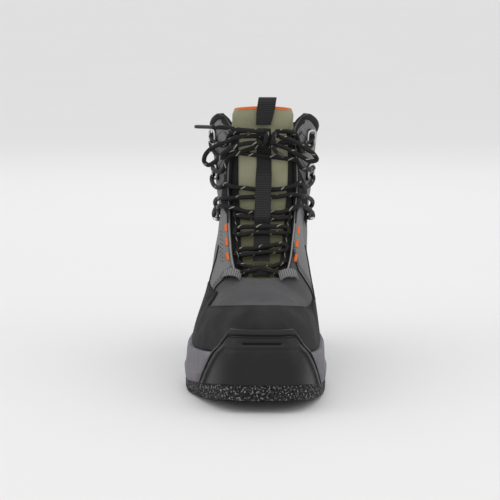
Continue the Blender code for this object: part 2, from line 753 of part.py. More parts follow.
def build_webbing():
    """Webbing: a flat strap down the middle of the tongue, bowed off it where the lace runs behind."""
    levels = np.linspace(0, 1, TONGUE_ROWS)[1:]
    depth = TONGUE_DEPTH - GAP - webbing_arch(levels)
    under = throat_grid(levels, webbing_places(levels), depth)
    over = throat_grid(levels, webbing_places(levels), depth - WEBBING)
    return finish("tongue_webbing", sheet_solid(over, under), (0.02, 0.02, 0.02), 0.85)


def strap_ring(centre, across, up, width, thickness):
    """Four corners of a flat strap's section."""
    half, rise = across * width / 2, up * thickness
    return [centre - half, centre + half, centre + half + rise, centre - half + rise]


def strap_along(name, path, across, width, thickness, colour, roughness):
    """A flat strap along a path of points. Its thickness grows on the left of the path, seen down across."""
    path = np.array(path)
    way = np.gradient(path, axis=0)
    rings = [
        strap_ring(point, across, unit(np.cross(across, step)), width[i] if np.ndim(width) else width, thickness)
        for i, (point, step) in enumerate(zip(path, way))
    ]
    return finish(name, loft_solid(rings), colour, roughness)


LOOP_ROWS = (
    # distance in front of the tongue's top edge and height above it, as shares of LOOP_HEIGHT; width share
    (0.80, -1.75, 0.82),
    (0.76, -0.80, 0.90),
    (0.72, 0.10, 0.98),
    (0.66, 0.62, 1.00),
    (0.34, 0.94, 1.00),
    (-0.12, 1.04, 1.00),
    (-0.50, 0.88, 1.00),
    (-0.66, 0.40, 1.00),
    (-0.74, -0.20, 1.00),
    (-0.74, -1.10, 1.00),
)
LOOP_HEIGHT = 0.0082
LOOP_LEAN = 0.0020
LOOP_ASIDE = 0.0026
LOOP_WIDTH = 0.0158


def build_loop():
    """Pull loop: a webbing loop over the tongue's top edge, sewn to its front and its back."""
    top = tongue_sheet(TONGUE_DEPTH + TONGUE / 2)[:, -1].mean(axis=0)
    top[2] = tongue_sheet(TONGUE_DEPTH)[5, -1, 2]
    top[0] += LOOP_ASIDE
    path = [
        top + np.array([LOOP_LEAN * rise, -LOOP_HEIGHT * ahead, LOOP_HEIGHT * rise]) for ahead, rise, _ in LOOP_ROWS
    ]
    width = [LOOP_WIDTH * share for _, _, share in LOOP_ROWS]
    return strap_along("pull_loop", path, np.array([-1.0, 0, 0]), width, WEBBING, (0.018, 0.018, 0.018), 0.85)


BINDING = 0.0016


def build_binding():
    """Binding: an orange tape along the tongue's top edge."""
    outer = tongue_sheet(TONGUE_DEPTH)[:, -1]
    inner = tongue_sheet(TONGUE_DEPTH + TONGUE)[:, -1]
    rings = []
    for front, back in zip(outer, inner):
        lift = np.array([0, 0, GAP])
        rise = np.array([0, 0, GAP + BINDING])
        rings.append([front + lift, back + lift, back + rise, front + rise])
    return finish("tongue_binding", loft_solid(rings), (0.90, 0.19, 0.04), 0.7)


def seat(side, u, height):
    """Place on the skin: its point, its outward, upward and forward directions."""
    one = np.array([side * u])
    v = share_at(one, height)
    point, out = skin(one, v)[0], skin_normal(one, v)[0]
    up = unit(np.array([0, 0, 1.0]) - out * out[2])
    return point, out, up, np.cross(up, out) * side


def local(place, x, y, z):
    """A point at x forward, y up and z out from a place on the skin."""
    point, out, up, fore = place
    return point + fore * x + up * y + out * z


def tab(name, place, width, height, low, thickness, colour=(0.016, 0.016, 0.017), roughness=0.8):
    """A flat tab on the skin."""
    rings = []
    for y in (-height / 2, height / 2):
        corners = ((-width / 2, low), (width / 2, low), (width / 2, low + thickness), (-width / 2, low + thickness))
        rings.append([local(place, x, y, z) for x, z in corners])
    return finish(name, loft_solid(rings), colour, roughness)


def tube(name, points, radius, sides, colour, roughness, metallic=0.0, closed=False, caps=True):
    """A round wire or cord through points, as a curve with a bevel and filled caps."""
    curve = bpy.data.curves.new(name, "CURVE")
    curve.dimensions = "3D"
    curve.bevel_depth = radius
    curve.bevel_resolution = sides
    curve.use_fill_caps = caps
    spline = curve.splines.new("POLY")
    spline.points.add(len(points) - 1)
    for target, point in zip(spline.points, points):
        target.co = (*point, 1)
    spline.use_cyclic_u = closed
    spline.use_smooth = True
    obj = bpy.data.objects.new(name, curve)
    bpy.context.scene.collection.objects.link(obj)
    dress(obj, name, colour, roughness, metallic)
    return obj


HARDWARE_ROWS = (
    # name, |u| lateral, |u| medial, height, kind
    ("upper", 0.700, 0.682, 0.905 * PEAK_HEIGHT, "hook"),
    ("lower", 0.692, 0.688, 0.768 * PEAK_HEIGHT, "hook"),
    ("ankle", 0.657, 0.690, 0.594 * PEAK_HEIGHT, "roller"),
)
HOOK_WIDTH, HOOK_HEIGHT, HOOK_WIRE = 0.0105, 0.0125, 0.0009
TAB_WIDTH, TAB_HEIGHT, TAB = 0.0062, 0.0150, 0.0014
TAB_SEAT = 0.0006
ROLLER, ROLLER_LONG = 0.0030, 0.0075


def build_hook(name, place):
    """A wire hook: a rounded ring that stands on its webbing tab."""
    ring = []
    for i in range(12):
        angle = 2 * math.pi * (i + 0.5) / 12
        x = HOOK_WIDTH / 2 * np.sign(math.cos(angle)) * abs(math.cos(angle)) ** 0.55
        y = HOOK_HEIGHT / 2 * np.sign(math.sin(angle)) * abs(math.sin(angle)) ** 0.55
        ring.append(local(place, x, y, TAB_SEAT + TAB + GAP + HOOK_WIRE + 0.0008 * math.cos(angle)))
    return tube(name, ring, HOOK_WIRE, 1, (0.62, 0.62, 0.63), 0.3, 1.0, closed=True, caps=False)


def build_roller(name, place):
    """A turned roller that the lace runs round, on its tab."""
    rings = []
    centre = TAB_SEAT + TAB + GAP + ROLLER
    for y, share in ((-0.5, 0.70), (-0.42, 1.0), (-0.16, 1.0), (-0.08, 0.78), (0.08, 0.78), (0.16, 1.0), (0.42, 1.0),
                     (0.5, 0.70)):
        ring = []
        for i in range(10):
            angle = 2 * math.pi * i / 10
            radius = ROLLER * share
            ring.append(local(place, radius * math.cos(angle), y * ROLLER_LONG, centre + radius * math.sin(angle)))
        rings.append(ring)
    return finish(name, loft_solid(rings), (0.60, 0.60, 0.61), 0.3, 1.0)


def build_hardware():
    for side, word in ((-1, "lateral"), (1, "medial")):
        for name, lateral_u, medial_u, height, kind in HARDWARE_ROWS:
            place = seat(side, lateral_u if side < 0 else medial_u, height)
            tab(f"{name}_tab_{word}", place, TAB_WIDTH, TAB_HEIGHT, TAB_SEAT, TAB)
            if kind == "hook":
                build_hook(f"{name}_hook_{word}", place)
            else:
                build_roller(f"{name}_roller_{word}", place)


STITCH_LEVELS = (0.195, 0.305, 0.415)
STITCH_LONG, STITCH_WIDE, STITCH = 0.0078, 0.0022, 0.0010
STITCH_BACK = {-1: 0.058, 1: 0.100}
STITCH_SEAT = 0.0007


def build_stitches():
    """Short runs of orange cord, sewn along each edge of the throat."""
    for side, word in ((-1, "lateral"), (1, "medial")):
        for count, level in enumerate(STITCH_LEVELS, 1):
            u = mix(THROAT_U + 0.02, THROAT_TOP_U, level)
            one = np.array([side * (u + 0.004)])
            height = skin(one, np.array([1 - STITCH_BACK[side]]))[0, 2]
            place = seat(side, u + 0.004, height)
            edge = unit(throat_edge(np.array([u + 0.03]), side)[0][0] - throat_edge(np.array([u - 0.03]), side)[0][0])
            point, out, _, _ = place
            up = unit(edge - out * (edge @ out))
            place = point, out, up, np.cross(up, out) * side
            name = f"orange_stitch_{word}_{count}"
            tab(name, place, STITCH_WIDE, STITCH_LONG, STITCH_SEAT, STITCH, (0.90, 0.19, 0.04), 0.6)


def build_lace_loops():
    """Webbing lace loops at the lower corners of the throat."""
    for side, word in ((-1, "lateral"), (1, "medial")):
        height = skin(np.array([side * 0.385]), np.array([0.93]))[0, 2]
        place = seat(side, 0.385, height)
        rings = []
        for x, z in ((-0.0065, 0.0006), (-0.0048, 0.0036), (0, 0.0048), (0.0048, 0.0036), (0.0065, 0.0006)):
            corners = ((-0.0042, z), (0.0042, z), (0.0042, z + WEBBING), (-0.0042, z + WEBBING))
            rings.append([local(place, x, y, out) for y, out in corners])
        finish(f"lace_loop_{word}", loft_solid(rings), (0.22, 0.22, 0.22), 0.85)


# Lace. A route's points are (level up the throat, share across it, lift of the lace's middle in mm).
# Shares below 0 and above 1 lie on the upper, beside the throat.

LACE_ROUTES = {
    "lace_row_1_low": ((0.222, 0.14, -0.4), (0.230, 0.38, -1.1), (0.243, 0.62, -1.1), (0.255, 0.87, -0.4)),
    "lace_row_1_high": ((0.258, 0.13, -0.4), (0.266, 0.38, -1.1), (0.285, 0.62, -1.1), (0.295, 0.87, -0.4)),
    "lace_row_2_low": ((0.362, 0.14, -0.4), (0.370, 0.38, -1.0), (0.372, 0.62, -1.0), (0.374, 0.87, -0.4)),
    "lace_row_2_high": ((0.410, 0.14, -0.2), (0.408, 0.38, 0.3), (0.408, 0.62, 0.3), (0.412, 0.87, -0.2)),
    "lace_ankle_low": (
        (0.505, 0.15, -0.4), (0.490, 0.28, -2.2), (0.485, 0.42, -2.6), (0.479, 0.60, -2.6), (0.482, 0.76, -2.2),
        (0.495, 0.87, -0.4),
    ),
    "lace_ankle_high": (
        (0.660, -0.18, 2.9), (0.590, -0.04, 3.1), (0.560, 0.10, 1.3), (0.534, 0.27, -2.2), (0.528, 0.42, -2.6),
        (0.524, 0.60, -2.6), (0.528, 0.76, -2.0), (0.552, 0.91, 1.4), (0.600, 1.04, 3.1), (0.660, 1.16, 2.9),
    ),
    "lace_shaft_low": (
        (0.690, -0.18, 2.9), (0.640, -0.04, 3.3), (0.622, 0.10, 1.7), (0.625, 0.27, -2.0), (0.624, 0.42, -2.6),
        (0.622, 0.60, -2.6), (0.632, 0.76, -1.8), (0.645, 0.92, 1.8), (0.665, 1.05, 3.3), (0.690, 1.16, 2.9),
    ),
    "lace_shaft_high": (
        (0.745, -0.11, 3.0), (0.715, -0.02, 3.1), (0.685, 0.10, 1.4), (0.675, 0.27, -1.8), (0.664, 0.42, -2.6),
        (0.664, 0.60, -2.6), (0.672, 0.76, -1.8), (0.694, 0.91, 1.6), (0.725, 1.02, 3.1), (0.755, 1.10, 3.0),
    ),
    "lace_top_lateral": ((0.962, -0.05, 3.6), (0.970, 0.06, 2.0), (0.980, 0.20, 0.6), (0.978, 0.36, 0.6)),
    "lace_top_medial": ((0.962, 1.05, 3.6), (0.970, 0.94, 2.0), (0.980, 0.80, 0.6), (0.978, 0.64, 0.6)),
}
LACE_CROSSINGS = {
    "lace_cross_toe": (
        ((0.148, 0.11, -0.4), (0.122, 0.30, -1.0), (0.102, 0.50, -1.0), (0.082, 0.68, -0.9), (0.068, 0.82, 0.2)),
        ((0.078, 0.12, -0.4), (0.088, 0.30, -1.0), (0.102, 0.50, -1.0), (0.128, 0.70, -1.0), (0.168, 0.89, -0.4)),
    ),
    "lace_cross_shaft": (
        (
            (0.905, -0.06, 2.9), (0.892, 0.06, 2.0), (0.876, 0.22, -0.6), (0.862, 0.42, -1.0), (0.852, 0.60, -1.0),
            (0.845, 0.78, -0.5), (0.838, 0.93, 2.0), (0.836, 1.05, 2.9),
        ),
        (
            (0.842, -0.08, 2.9), (0.854, 0.04, 2.2), (0.876, 0.22, -0.6), (0.900, 0.38, -0.9), (0.918, 0.52, -0.9),
            (0.928, 0.70, -0.7), (0.928, 0.86, 0.9), (0.926, 0.96, 2.5), (0.918, 1.04, 2.9),
        ),
    ),
}

LACE_SIDES = 8
LACE_STEP = 0.009
BOW_STEP = 0.0085
KNOT_STEP = 0.0055
BOW_BACK = 0.0015

# The bow's cords, in mm from the floor under the heel
BOW_ROUTES = {
    "bow_knot": (
        (-1.6, -101.0, 196.8), (1.6, -99.0, 193.0), (2.4, -103.5, 189.6), (3.4, -108.2, 194.0), (4.6, -105.0, 199.6),
        (5.8, -98.6, 199.0), (6.6, -97.4, 192.0), (7.8, -102.5, 188.6), (9.2, -108.0, 192.4), (10.4, -105.5, 199.0),
        (11.6, -99.6, 198.6), (14.0, -100.9, 196.6),
    ),
    "bow_loop_lateral": (
        (-2.9, -101.4, 197.0), (-13.7, -102.0, 196.8), (-22.8, -100.0, 195.0), (-29.5, -97.5, 191.5),
        (-37.0, -96.0, 188.9), (-43.2, -95.0, 185.1), (-47.4, -95.0, 179.7), (-48.0, -95.0, 175.0),
        (-44.9, -96.0, 172.4), (-39.4, -98.0, 174.9), (-34.7, -100.0, 179.5), (-30.1, -102.0, 184.0),
        (-22.5, -103.5, 188.4), (-12.8, -104.8, 191.2), (0.3, -105.0, 191.8),
    ),
    "bow_loop_medial": (
        (15.1, -101.0, 196.0), (23.0, -101.5, 194.2), (30.0, -99.5, 190.6), (37.0, -96.5, 186.0),
        (43.5, -93.0, 180.8), (45.6, -91.5, 176.6), (41.0, -94.0, 175.4), (33.5, -97.0, 179.4),
        (25.0, -101.5, 184.6), (17.6, -103.8, 188.4), (11.4, -104.6, 190.2),
    ),
    "lace_end_lateral": (
        (2.2, -104.8, 201.0), (-8.0, -104.0, 201.6), (-16.5, -104.0, 202.2), (-24.3, -102.5, 203.2),
        (-31.9, -101.5, 204.1), (-40.6, -100.0, 204.2),
    ),
    "lace_end_medial": ((9.3, -108.8, 189.4), (10.3, -108.9, 187.5), (11.4, -108.8, 185.9), (12.4, -108.6, 184.4)),
    "aglet_lateral": ((-41.2, -99.9, 204.2), (-55.4, -97.8, 204.4)),
    "aglet_medial": ((12.9, -108.3, 183.9), (17.9, -105.4, 180.4)),
}


def throat_point(route):
    """Points beside and across the throat, from the columns of a lace route."""
    level, share, lift = np.array(route).T
    lift = lift / 1000
    u = mix(THROAT_U + 0.02, THROAT_TOP_U, level)
    across = np.clip(share, 0, 1)
    over = bridge(level, across) + bridge_normal(level, across) * lift[:, None]
    beside = off_skin(np.where(share < 0.5, -u, u), 1 - abs(share - across), lift)
    return np.where((share == across)[:, None], over, beside)


def eased(points, step):
    """Points every step along a smooth curve through a cord's own points."""
    points = np.array(points)
    runs = np.concatenate([[0], np.cumsum(np.linalg.norm(np.diff(points, axis=0), axis=1))])
    slopes = np.gradient(points, runs, axis=0)
    at = np.linspace(0, runs[-1], max(2, round(runs[-1] / step)) + 1)
    i = np.clip(np.searchsorted(runs, at) - 1, 0, len(runs) - 2)
    span = (runs[i + 1] - runs[i])[:, None]
    t = (at - runs[i])[:, None] / span
    return (
        points[i] * (1 + 2 * t) * (1 - t) ** 2
        + slopes[i] * span * t * (1 - t) ** 2
        + points[i + 1] * t * t * (3 - 2 * t)
        + slopes[i + 1] * span * t * t * (t - 1)
    )


def cord_solid(name, points):
    """A length of lace as a solid: an eight-sided section carried along its points."""
    way = unit(np.gradient(points, axis=0))
    aside = unit(np.cross(way, (0, 0, 1)))
    over = np.cross(aside, way)
    rings = []
    for point, x, y in zip(points, aside, over):
        turns = [2 * math.pi * (i + 0.5) / LACE_SIDES for i in range(LACE_SIDES)]
        rings.append([point + LACE / 2 * (x * math.cos(turn) + y * math.sin(turn)) for turn in turns])
    return finish(name, loft_solid(rings), (0.03, 0.03, 0.03), 0.7, angle=60)


def build_laces():
    """Lace rows across the throat, and the pairs of runs that cross and press into each other."""
    for name, route in LACE_ROUTES.items():
        cord_solid(name, eased(throat_point(route), LACE_STEP))
    for name, (under, over) in LACE_CROSSINGS.items():
        piece = cord_solid(name, eased(throat_point(under), LACE_STEP))
        other = cord_solid(f"{name}_other_run", eased(throat_point(over), LACE_STEP))
        other.hide_render = True
        other.display_type = "WIRE"
        join = piece.modifiers.new("other run", "BOOLEAN")
        join.operation = "UNION"
        join.solver = "EXACT"
        join.object = other


def build_bow():
    """Bow: its knot, two loops and two ends with their tips."""
    for name, route in BOW_ROUTES.items():
        points = np.array(route) / 1000 + (0, BOW_BACK, 0)
        thick = AGLET if "aglet" in name else LACE
        step = KNOT_STEP if name == "bow_knot" else BOW_STEP
        tube(name, eased(points, step), thick / 2, 2, (0.03, 0.03, 0.03), 0.7)


def clear_scene():
    for obj in list(bpy.data.objects):
        bpy.data.objects.remove(obj)


clear_scene()
build_felt("felt_forefoot", 0.004, FELT_BREAK[0], 16)
build_felt("felt_heel", FELT_BREAK[1], 0.996, 10)
build_midsole()
build_bumper()
build_insole()
build_upper()
build_rand()
build_counter()
build_tongue()
build_facing("eyestay_lateral", -1)
build_facing("eyestay_medial", 1)
build_webbing()
build_loop()
build_binding()
build_hardware()
build_stitches()
build_lace_loops()
build_laces()
build_bow()
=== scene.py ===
import math

import bmesh
import bpy
import numpy as np
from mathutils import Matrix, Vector


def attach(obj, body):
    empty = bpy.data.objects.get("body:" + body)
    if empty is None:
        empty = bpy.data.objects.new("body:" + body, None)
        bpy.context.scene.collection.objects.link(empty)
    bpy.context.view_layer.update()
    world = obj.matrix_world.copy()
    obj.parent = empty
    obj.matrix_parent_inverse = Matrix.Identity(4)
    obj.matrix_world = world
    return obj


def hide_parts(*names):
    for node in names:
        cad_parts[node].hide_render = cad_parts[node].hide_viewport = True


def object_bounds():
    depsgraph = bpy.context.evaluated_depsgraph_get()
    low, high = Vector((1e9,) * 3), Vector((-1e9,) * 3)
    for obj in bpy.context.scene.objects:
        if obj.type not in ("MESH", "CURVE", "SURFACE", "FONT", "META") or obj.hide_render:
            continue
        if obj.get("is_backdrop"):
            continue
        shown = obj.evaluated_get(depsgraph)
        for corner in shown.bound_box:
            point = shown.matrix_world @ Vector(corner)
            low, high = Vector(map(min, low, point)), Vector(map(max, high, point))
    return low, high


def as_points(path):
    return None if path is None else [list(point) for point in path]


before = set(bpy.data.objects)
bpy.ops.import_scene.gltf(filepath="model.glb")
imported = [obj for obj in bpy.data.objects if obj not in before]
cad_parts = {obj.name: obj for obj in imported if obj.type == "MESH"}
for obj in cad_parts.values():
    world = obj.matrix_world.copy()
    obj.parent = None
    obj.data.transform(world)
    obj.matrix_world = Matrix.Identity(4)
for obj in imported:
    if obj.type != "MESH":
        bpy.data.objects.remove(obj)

cad_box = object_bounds()


# Camera: a long lens a little above the toe, seen almost straight on, as the photograph was taken.
# The lens looks slightly upwards of the toe, so that the boot stands in the middle of the frame.

VIEW_TURN, VIEW_RISE, VIEW_DISTANCE = math.radians(1.6), math.radians(12), 1.69
AIM = Vector((0, -0.165, 0))
FOCAL = 2087 / 500
FRAME_OFFSET = Vector((-9.5 / 2087, 0, 136.5 / 2087))

stand = Vector((
    math.sin(VIEW_TURN) * math.cos(VIEW_RISE), -math.cos(VIEW_TURN) * math.cos(VIEW_RISE), math.sin(VIEW_RISE)
))
camera = bpy.data.objects.new("camera", bpy.data.cameras.new("camera"))
camera.data.sensor_width = 36
camera.data.lens = 36 * FOCAL
camera.location = AIM + stand * VIEW_DISTANCE
sight = -stand
aside = sight.cross(Vector((0, 0, 1))).normalized()
above = aside.cross(sight)
centre_line = sight + aside * FRAME_OFFSET.x + above * FRAME_OFFSET.z
camera.rotation_euler = centre_line.to_track_quat("-Z", "Y").to_euler()
bpy.context.scene.collection.objects.link(camera)
bpy.context.scene.camera = camera
bpy.context.scene.view_settings.view_transform = "Standard"


# Studio: a wide pale floor that fills the picture, an even pale surround and soft panels over and
# beside the boot. None of it is part of the object.

def panel(name, place, size, power, toward=(0, -0.1, 0.08)):
    """A soft rectangular lamp at a place, turned to the boot."""
    lamp = bpy.data.lights.new(name, "AREA")
    lamp.shape = "RECTANGLE"
    lamp.size, lamp.size_y = size
    lamp.energy = power
    obj = bpy.data.objects.new(name, lamp)
    obj.location = place
    obj.rotation_euler = (Vector(toward) - Vector(place)).to_track_quat("-Z", "Y").to_euler()
    bpy.context.scene.collection.objects.link(obj)


panel("top panel", (0.0, -0.35, 1.5), (1.3, 1.3), 2.2)
panel("left panel", (-1.5, -0.9, 0.9), (0.9, 1.2), 2.6)
panel("right panel", (1.5, -0.9, 0.9), (0.9, 1.2), 2.2)
panel("back panel", (0.0, 1.4, 1.0), (1.6, 0.9), 2.5)

world = bpy.data.worlds.new("studio")
bpy.context.scene.world = world
world.use_nodes = True
world.node_tree.nodes["Background"].inputs["Color"].default_value = (1, 1, 1, 1)
world.node_tree.nodes["Background"].inputs["Strength"].default_value = 0.90

floor_mesh = bpy.data.meshes.new("floor")
floor_mesh.from_pydata([(-30, -30, -0.0002), (30, -30, -0.0002), (30, 30, -0.0002), (-30, 30, -0.0002)], [],
                       [(0, 1, 2, 3)])
floor = bpy.data.objects.new("floor", floor_mesh)
bpy.context.scene.collection.objects.link(floor)
floor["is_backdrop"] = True


class Wire:
    """A value, vector or colour on its way through a material, with the usual operators."""

    def __init__(self, material, socket=None):
        self.material, self.socket = material, socket

    def node(self, kind, inputs=None, out=0, **settings):
        """Adds a node of a kind, sets it up, feeds its inputs and gives one of its outputs."""
        node = self.material.node_tree.nodes.new(kind)
        for name, value in settings.items():
            setattr(node, name, value)
        for name, value in (inputs or {}).items():
            target = node.inputs[name]
            if isinstance(value, Wire):
                self.material.node_tree.links.new(value.socket, target)
            elif isinstance(value, tuple) and len(value) == 3 and target.type == "RGBA":
                target.default_value = (*value, 1)
            else:
                target.default_value = value
        return Wire(self.material, node.outputs[out])

    def math(self, operation, *values):
        return self.node("ShaderNodeMath", dict(enumerate((self, *values))), operation=operation)

    def __add__(self, other):
        return self.math("ADD", other)

    def __sub__(self, other):
        return self.math("SUBTRACT", other)

    def __mul__(self, other):
        return self.math("MULTIPLY", other)

    def __rsub__(self, other):
        return self.math("MULTIPLY", -1.0).math("ADD", other)

    __radd__, __rmul__ = __add__, __mul__

    def wave(self):
        """0 to 1 and back, once for each unit of the value."""
        return self.math("MULTIPLY", 2 * math.pi).math("SINE") * 0.5 + 0.5

    def span(self, low, high):
        """0 below low, 1 above high."""
        return self.node("ShaderNodeMapRange", {0: self, 1: low, 2: high}, interpolation_type="SMOOTHSTEP")

    def tint(self, low, high):
        """Colour from low, at 0, to high, at 1."""
        return self.node("ShaderNodeMix", {0: self, 6: low, 7: high}, out=2, data_type="RGBA")

    def noise(self, scale, detail=3.0):
        """Soft noise with a number of spots to the metre."""
        place = self.node("ShaderNodeTexCoord", out=3)
        return self.node("ShaderNodeTexNoise",
                         {"Vector": place, "Scale": scale, "Detail": detail, "Roughness": 0.55})

    def cells(self, scale):
        """Distance from the middle of small cells, with a number of them to the metre."""
        place = self.node("ShaderNodeTexCoord", out=3)
        return self.node("ShaderNodeTexVoronoi", {"Vector": place, "Scale": scale})

    def uv(self, axis):
        """The piece's own UV map, in metres along (1) or across (0)."""
        return self.node("ShaderNodeSeparateXYZ", {0: self.node("ShaderNodeUVMap", uv_map="UVMap")}, out=axis)


def finish_of(name, **settings):
    """A new material with values set on its shader, and a first wire in it."""
    material = bpy.data.materials.new(name)
    material.use_nodes = True
    shader = material.node_tree.nodes["Principled BSDF"]
    if settings.get("Roughness", 0) > 0.5:
        shader.inputs["Specular IOR Level"].default_value = 0.25
    for socket, value in settings.items():
        shader.inputs[socket.replace("_", " ")].default_value = value
    return material, Wire(material)


def dress(material, colour, roughness=None, height=None, depth=0.0005, strength=0.6):
    """Feeds a material's colour, roughness and relief, whose height is in the unit of its depth in metres."""
    tree = material.node_tree
    shader = tree.nodes["Principled BSDF"]
    for socket, wire in (("Base Color", colour), ("Roughness", roughness)):
        if wire is not None:
            tree.links.new(wire.socket, shader.inputs[socket])
    if height is not None:
        bump = height.node("ShaderNodeBump", {"Strength": strength, "Distance": depth, "Height": height})
        tree.links.new(bump.socket, shader.inputs["Normal"])


floor_paint, start = finish_of("pale floor", Roughness=0.75)
dress(floor_paint, start.noise(3).tint((0.80, 0.80, 0.80), (0.82, 0.82, 0.82)), start.noise(40) * 0.1 + 0.7)
floor.data.materials.append(floor_paint)


# The boot's form: the sole's outline and the columns of the upper, as the solids have them. Every piece
# that lies on the boot takes its place from this skin: u runs round from the toe (0) to the heel (-1
# lateral, 1 medial), v from the feather line (0) to the top line (1).

SOLE_LENGTH, BALL_WIDTH, HEEL_WIDTH, HEEL_BEHIND = 0.308, 0.115, 0.084, 0.042
TOE_SPRING, TOE_HEIGHT, INSTEP_HEIGHT, PEAK_HEIGHT, BACK_HEIGHT = 0.010, 0.0735, 0.087, 0.213, 0.198
COLLAR_WIDTH, ANKLE_WIDTH, THROAT_WIDTH = 0.091, 0.077, 0.056
GAP, WALL, COLLAR_PAD, FELT = 0.0003, 0.0022, 0.0085, 0.0118
FOREFOOT_BASE, HEEL_BASE, CUP_HEIGHT, SHANK_LIFT = 0.011, 0.022, 0.0165, 0.006
FELT_BREAK, TOE_ROUND, HEEL_ROUND = (0.575, 0.685), 0.46, 0.40
THROAT_U, THROAT_TOP_U, THROAT_TUCK = 0.355, 0.630, 0.02
SIDES = ((-1, "lateral"), (1, "medial"))
SOLE_ROWS = (
    # share of the length, middle, half by ball, half by heel, spring, felt, stack, cup
    (0.00, 0.040, 0.440, 0.000, 1.00, 1.00, 0.00, 0.80),
    (0.08, 0.030, 0.455, 0.000, 0.62, 1.00, 0.00, 0.80),
    (0.18, 0.005, 0.485, 0.000, 0.20, 0.90, 0.00, 0.88),
    (0.28, -0.022, 0.508, 0.000, 0.00, 0.76, 0.00, 0.98),
    (0.36, -0.030, 0.505, 0.000, 0.00, 0.74, 0.04, 1.00),
    (0.48, -0.034, 0.440, 0.030, 0.00, 0.84, 0.25, 0.95),
    (0.60, -0.026, 0.330, 0.110, 0.00, 0.95, 0.60, 0.90),
    (0.74, -0.008, 0.090, 0.390, 0.00, 1.00, 0.95, 0.92),
    (0.87, 0.000, 0.000, 0.505, 0.00, 1.00, 1.00, 1.00),
    (1.00, 0.000, 0.000, 0.490, 0.00, 1.00, 1.00, 1.05),
)
UPPER_ROWS = (
    # |u|, top y by the length, top z, top middle x, top half width, over, belly, waist by the ankle
    (0.000, -0.655, TOE_HEIGHT + 0.0020, 0.0030, 0, 1.00, 0.0000, 0),
    (0.100, -0.651, TOE_HEIGHT + 0.0024, 0.0029, 0, 1.00, 0.0000, 0),
    (0.180, -0.632, TOE_HEIGHT + 0.0038, 0.0026, 0, 1.00, 0.0000, 0),
    (0.270, -0.582, 0.4 * TOE_HEIGHT + 0.6 * INSTEP_HEIGHT, 0.0018, 0, 1.00, 0.0003, 0),
    (0.355, -0.517, INSTEP_HEIGHT, 0.0010, 0, 1.00, 0.0004, 0),
    (0.380, -0.510, INSTEP_HEIGHT + 0.001, 0.0010, 0.29 * THROAT_WIDTH, 0.98, 0.0004, 0),
    (0.420, -0.462, INSTEP_HEIGHT + 0.012, 0.0008, 0.40 * THROAT_WIDTH, 0.93, 0.0004, 0),
    (0.470, -0.402, 0.75 * INSTEP_HEIGHT + 0.25 * PEAK_HEIGHT, 0.0006, 0.45 * THROAT_WIDTH, 0.80, 0.0004, 0),
    (0.520, -0.345, 0.60 * INSTEP_HEIGHT + 0.40 * PEAK_HEIGHT,
     0.0005, 0.48 * THROAT_WIDTH, 0.60, 0.0006, 0.010),
    (0.560, -0.305, 0.43 * INSTEP_HEIGHT + 0.57 * PEAK_HEIGHT,
     0.0005, 0.50 * THROAT_WIDTH, 0.42, 0.0010, 0.010),
    (0.600, -0.279, 0.25 * INSTEP_HEIGHT + 0.75 * PEAK_HEIGHT,
     0.0005, 0.49 * THROAT_WIDTH, 0.26, 0.0014, 0.012),
    (0.630, -0.263, 0.10 * INSTEP_HEIGHT + 0.90 * PEAK_HEIGHT,
     0.0005, 0.46 * THROAT_WIDTH, 0.16, 0.0018, 0.015),
    (0.655, -0.247, 0.03 * INSTEP_HEIGHT + 0.97 * PEAK_HEIGHT,
     0.0005, 0.33 * COLLAR_WIDTH, 0.08, 0.0020, 0.018),
    (0.685, -0.214, PEAK_HEIGHT, 0.0005, 0.41 * COLLAR_WIDTH, 0.02, 0.0022, 0.020),
    (0.750, -0.123, 0.5 * (PEAK_HEIGHT + BACK_HEIGHT), 0.0005, 0.49 * COLLAR_WIDTH, 0.00, 0.0026, 0.027),
    (0.850, 0.006, BACK_HEIGHT + 0.001, 0.0005, 0.455 * COLLAR_WIDTH, 0.00, 0.0034, 0.040),
    (0.940, 0.094, BACK_HEIGHT, 0.0003, 0.27 * COLLAR_WIDTH, 0.00, 0.0040, 0.060),
    (1.000, 0.122, BACK_HEIGHT, 0.0000, 0, 0.00, 0.0045, 0.090),
)


def smooth(rows, column, at):
    """One column of a table, as a curve that never overshoots its rows."""
    x = np.array([row[0] for row in rows], float)
    y = np.array([row[column] for row in rows], float)
    step = np.diff(x)
    slope = np.diff(y) / step
    same = slope[:-1] * slope[1:] > 0
    w0, w1 = 2 * step[1:] + step[:-1], step[1:] + 2 * step[:-1]
    safe = np.where(same, slope[:-1], 1), np.where(same, slope[1:], 1)
    tangent = np.concatenate([[0], np.where(same, (w0 + w1) / (w0 / safe[0] + w1 / safe[1]), 0), [0]])
    at = np.clip(np.asarray(at, float), x[0], x[-1])
    i = np.clip(np.searchsorted(x, at) - 1, 0, len(x) - 2)
    t = (at - x[i]) / step[i]
    return (y[i] * (1 + 2 * t) * (1 - t) ** 2 + tangent[i] * step[i] * t * (1 - t) ** 2
            + y[i + 1] * t * t * (3 - 2 * t) + tangent[i + 1] * step[i] * t * t * (t - 1))


def mix(a, b, t):
    return a + (b - a) * t


def ease(t):
    t = np.clip(t, 0, 1)
    return t * t * (3 - 2 * t)


def stack(x, y, z):
    return np.stack(np.broadcast_arrays(x, y, z), axis=-1)


def unit(vectors):
    return vectors / np.maximum(np.linalg.norm(vectors, axis=-1, keepdims=True), 1e-12)


def half_width(share):
    return smooth(SOLE_ROWS, 2, share) * BALL_WIDTH + smooth(SOLE_ROWS, 3, share) * HEEL_WIDTH


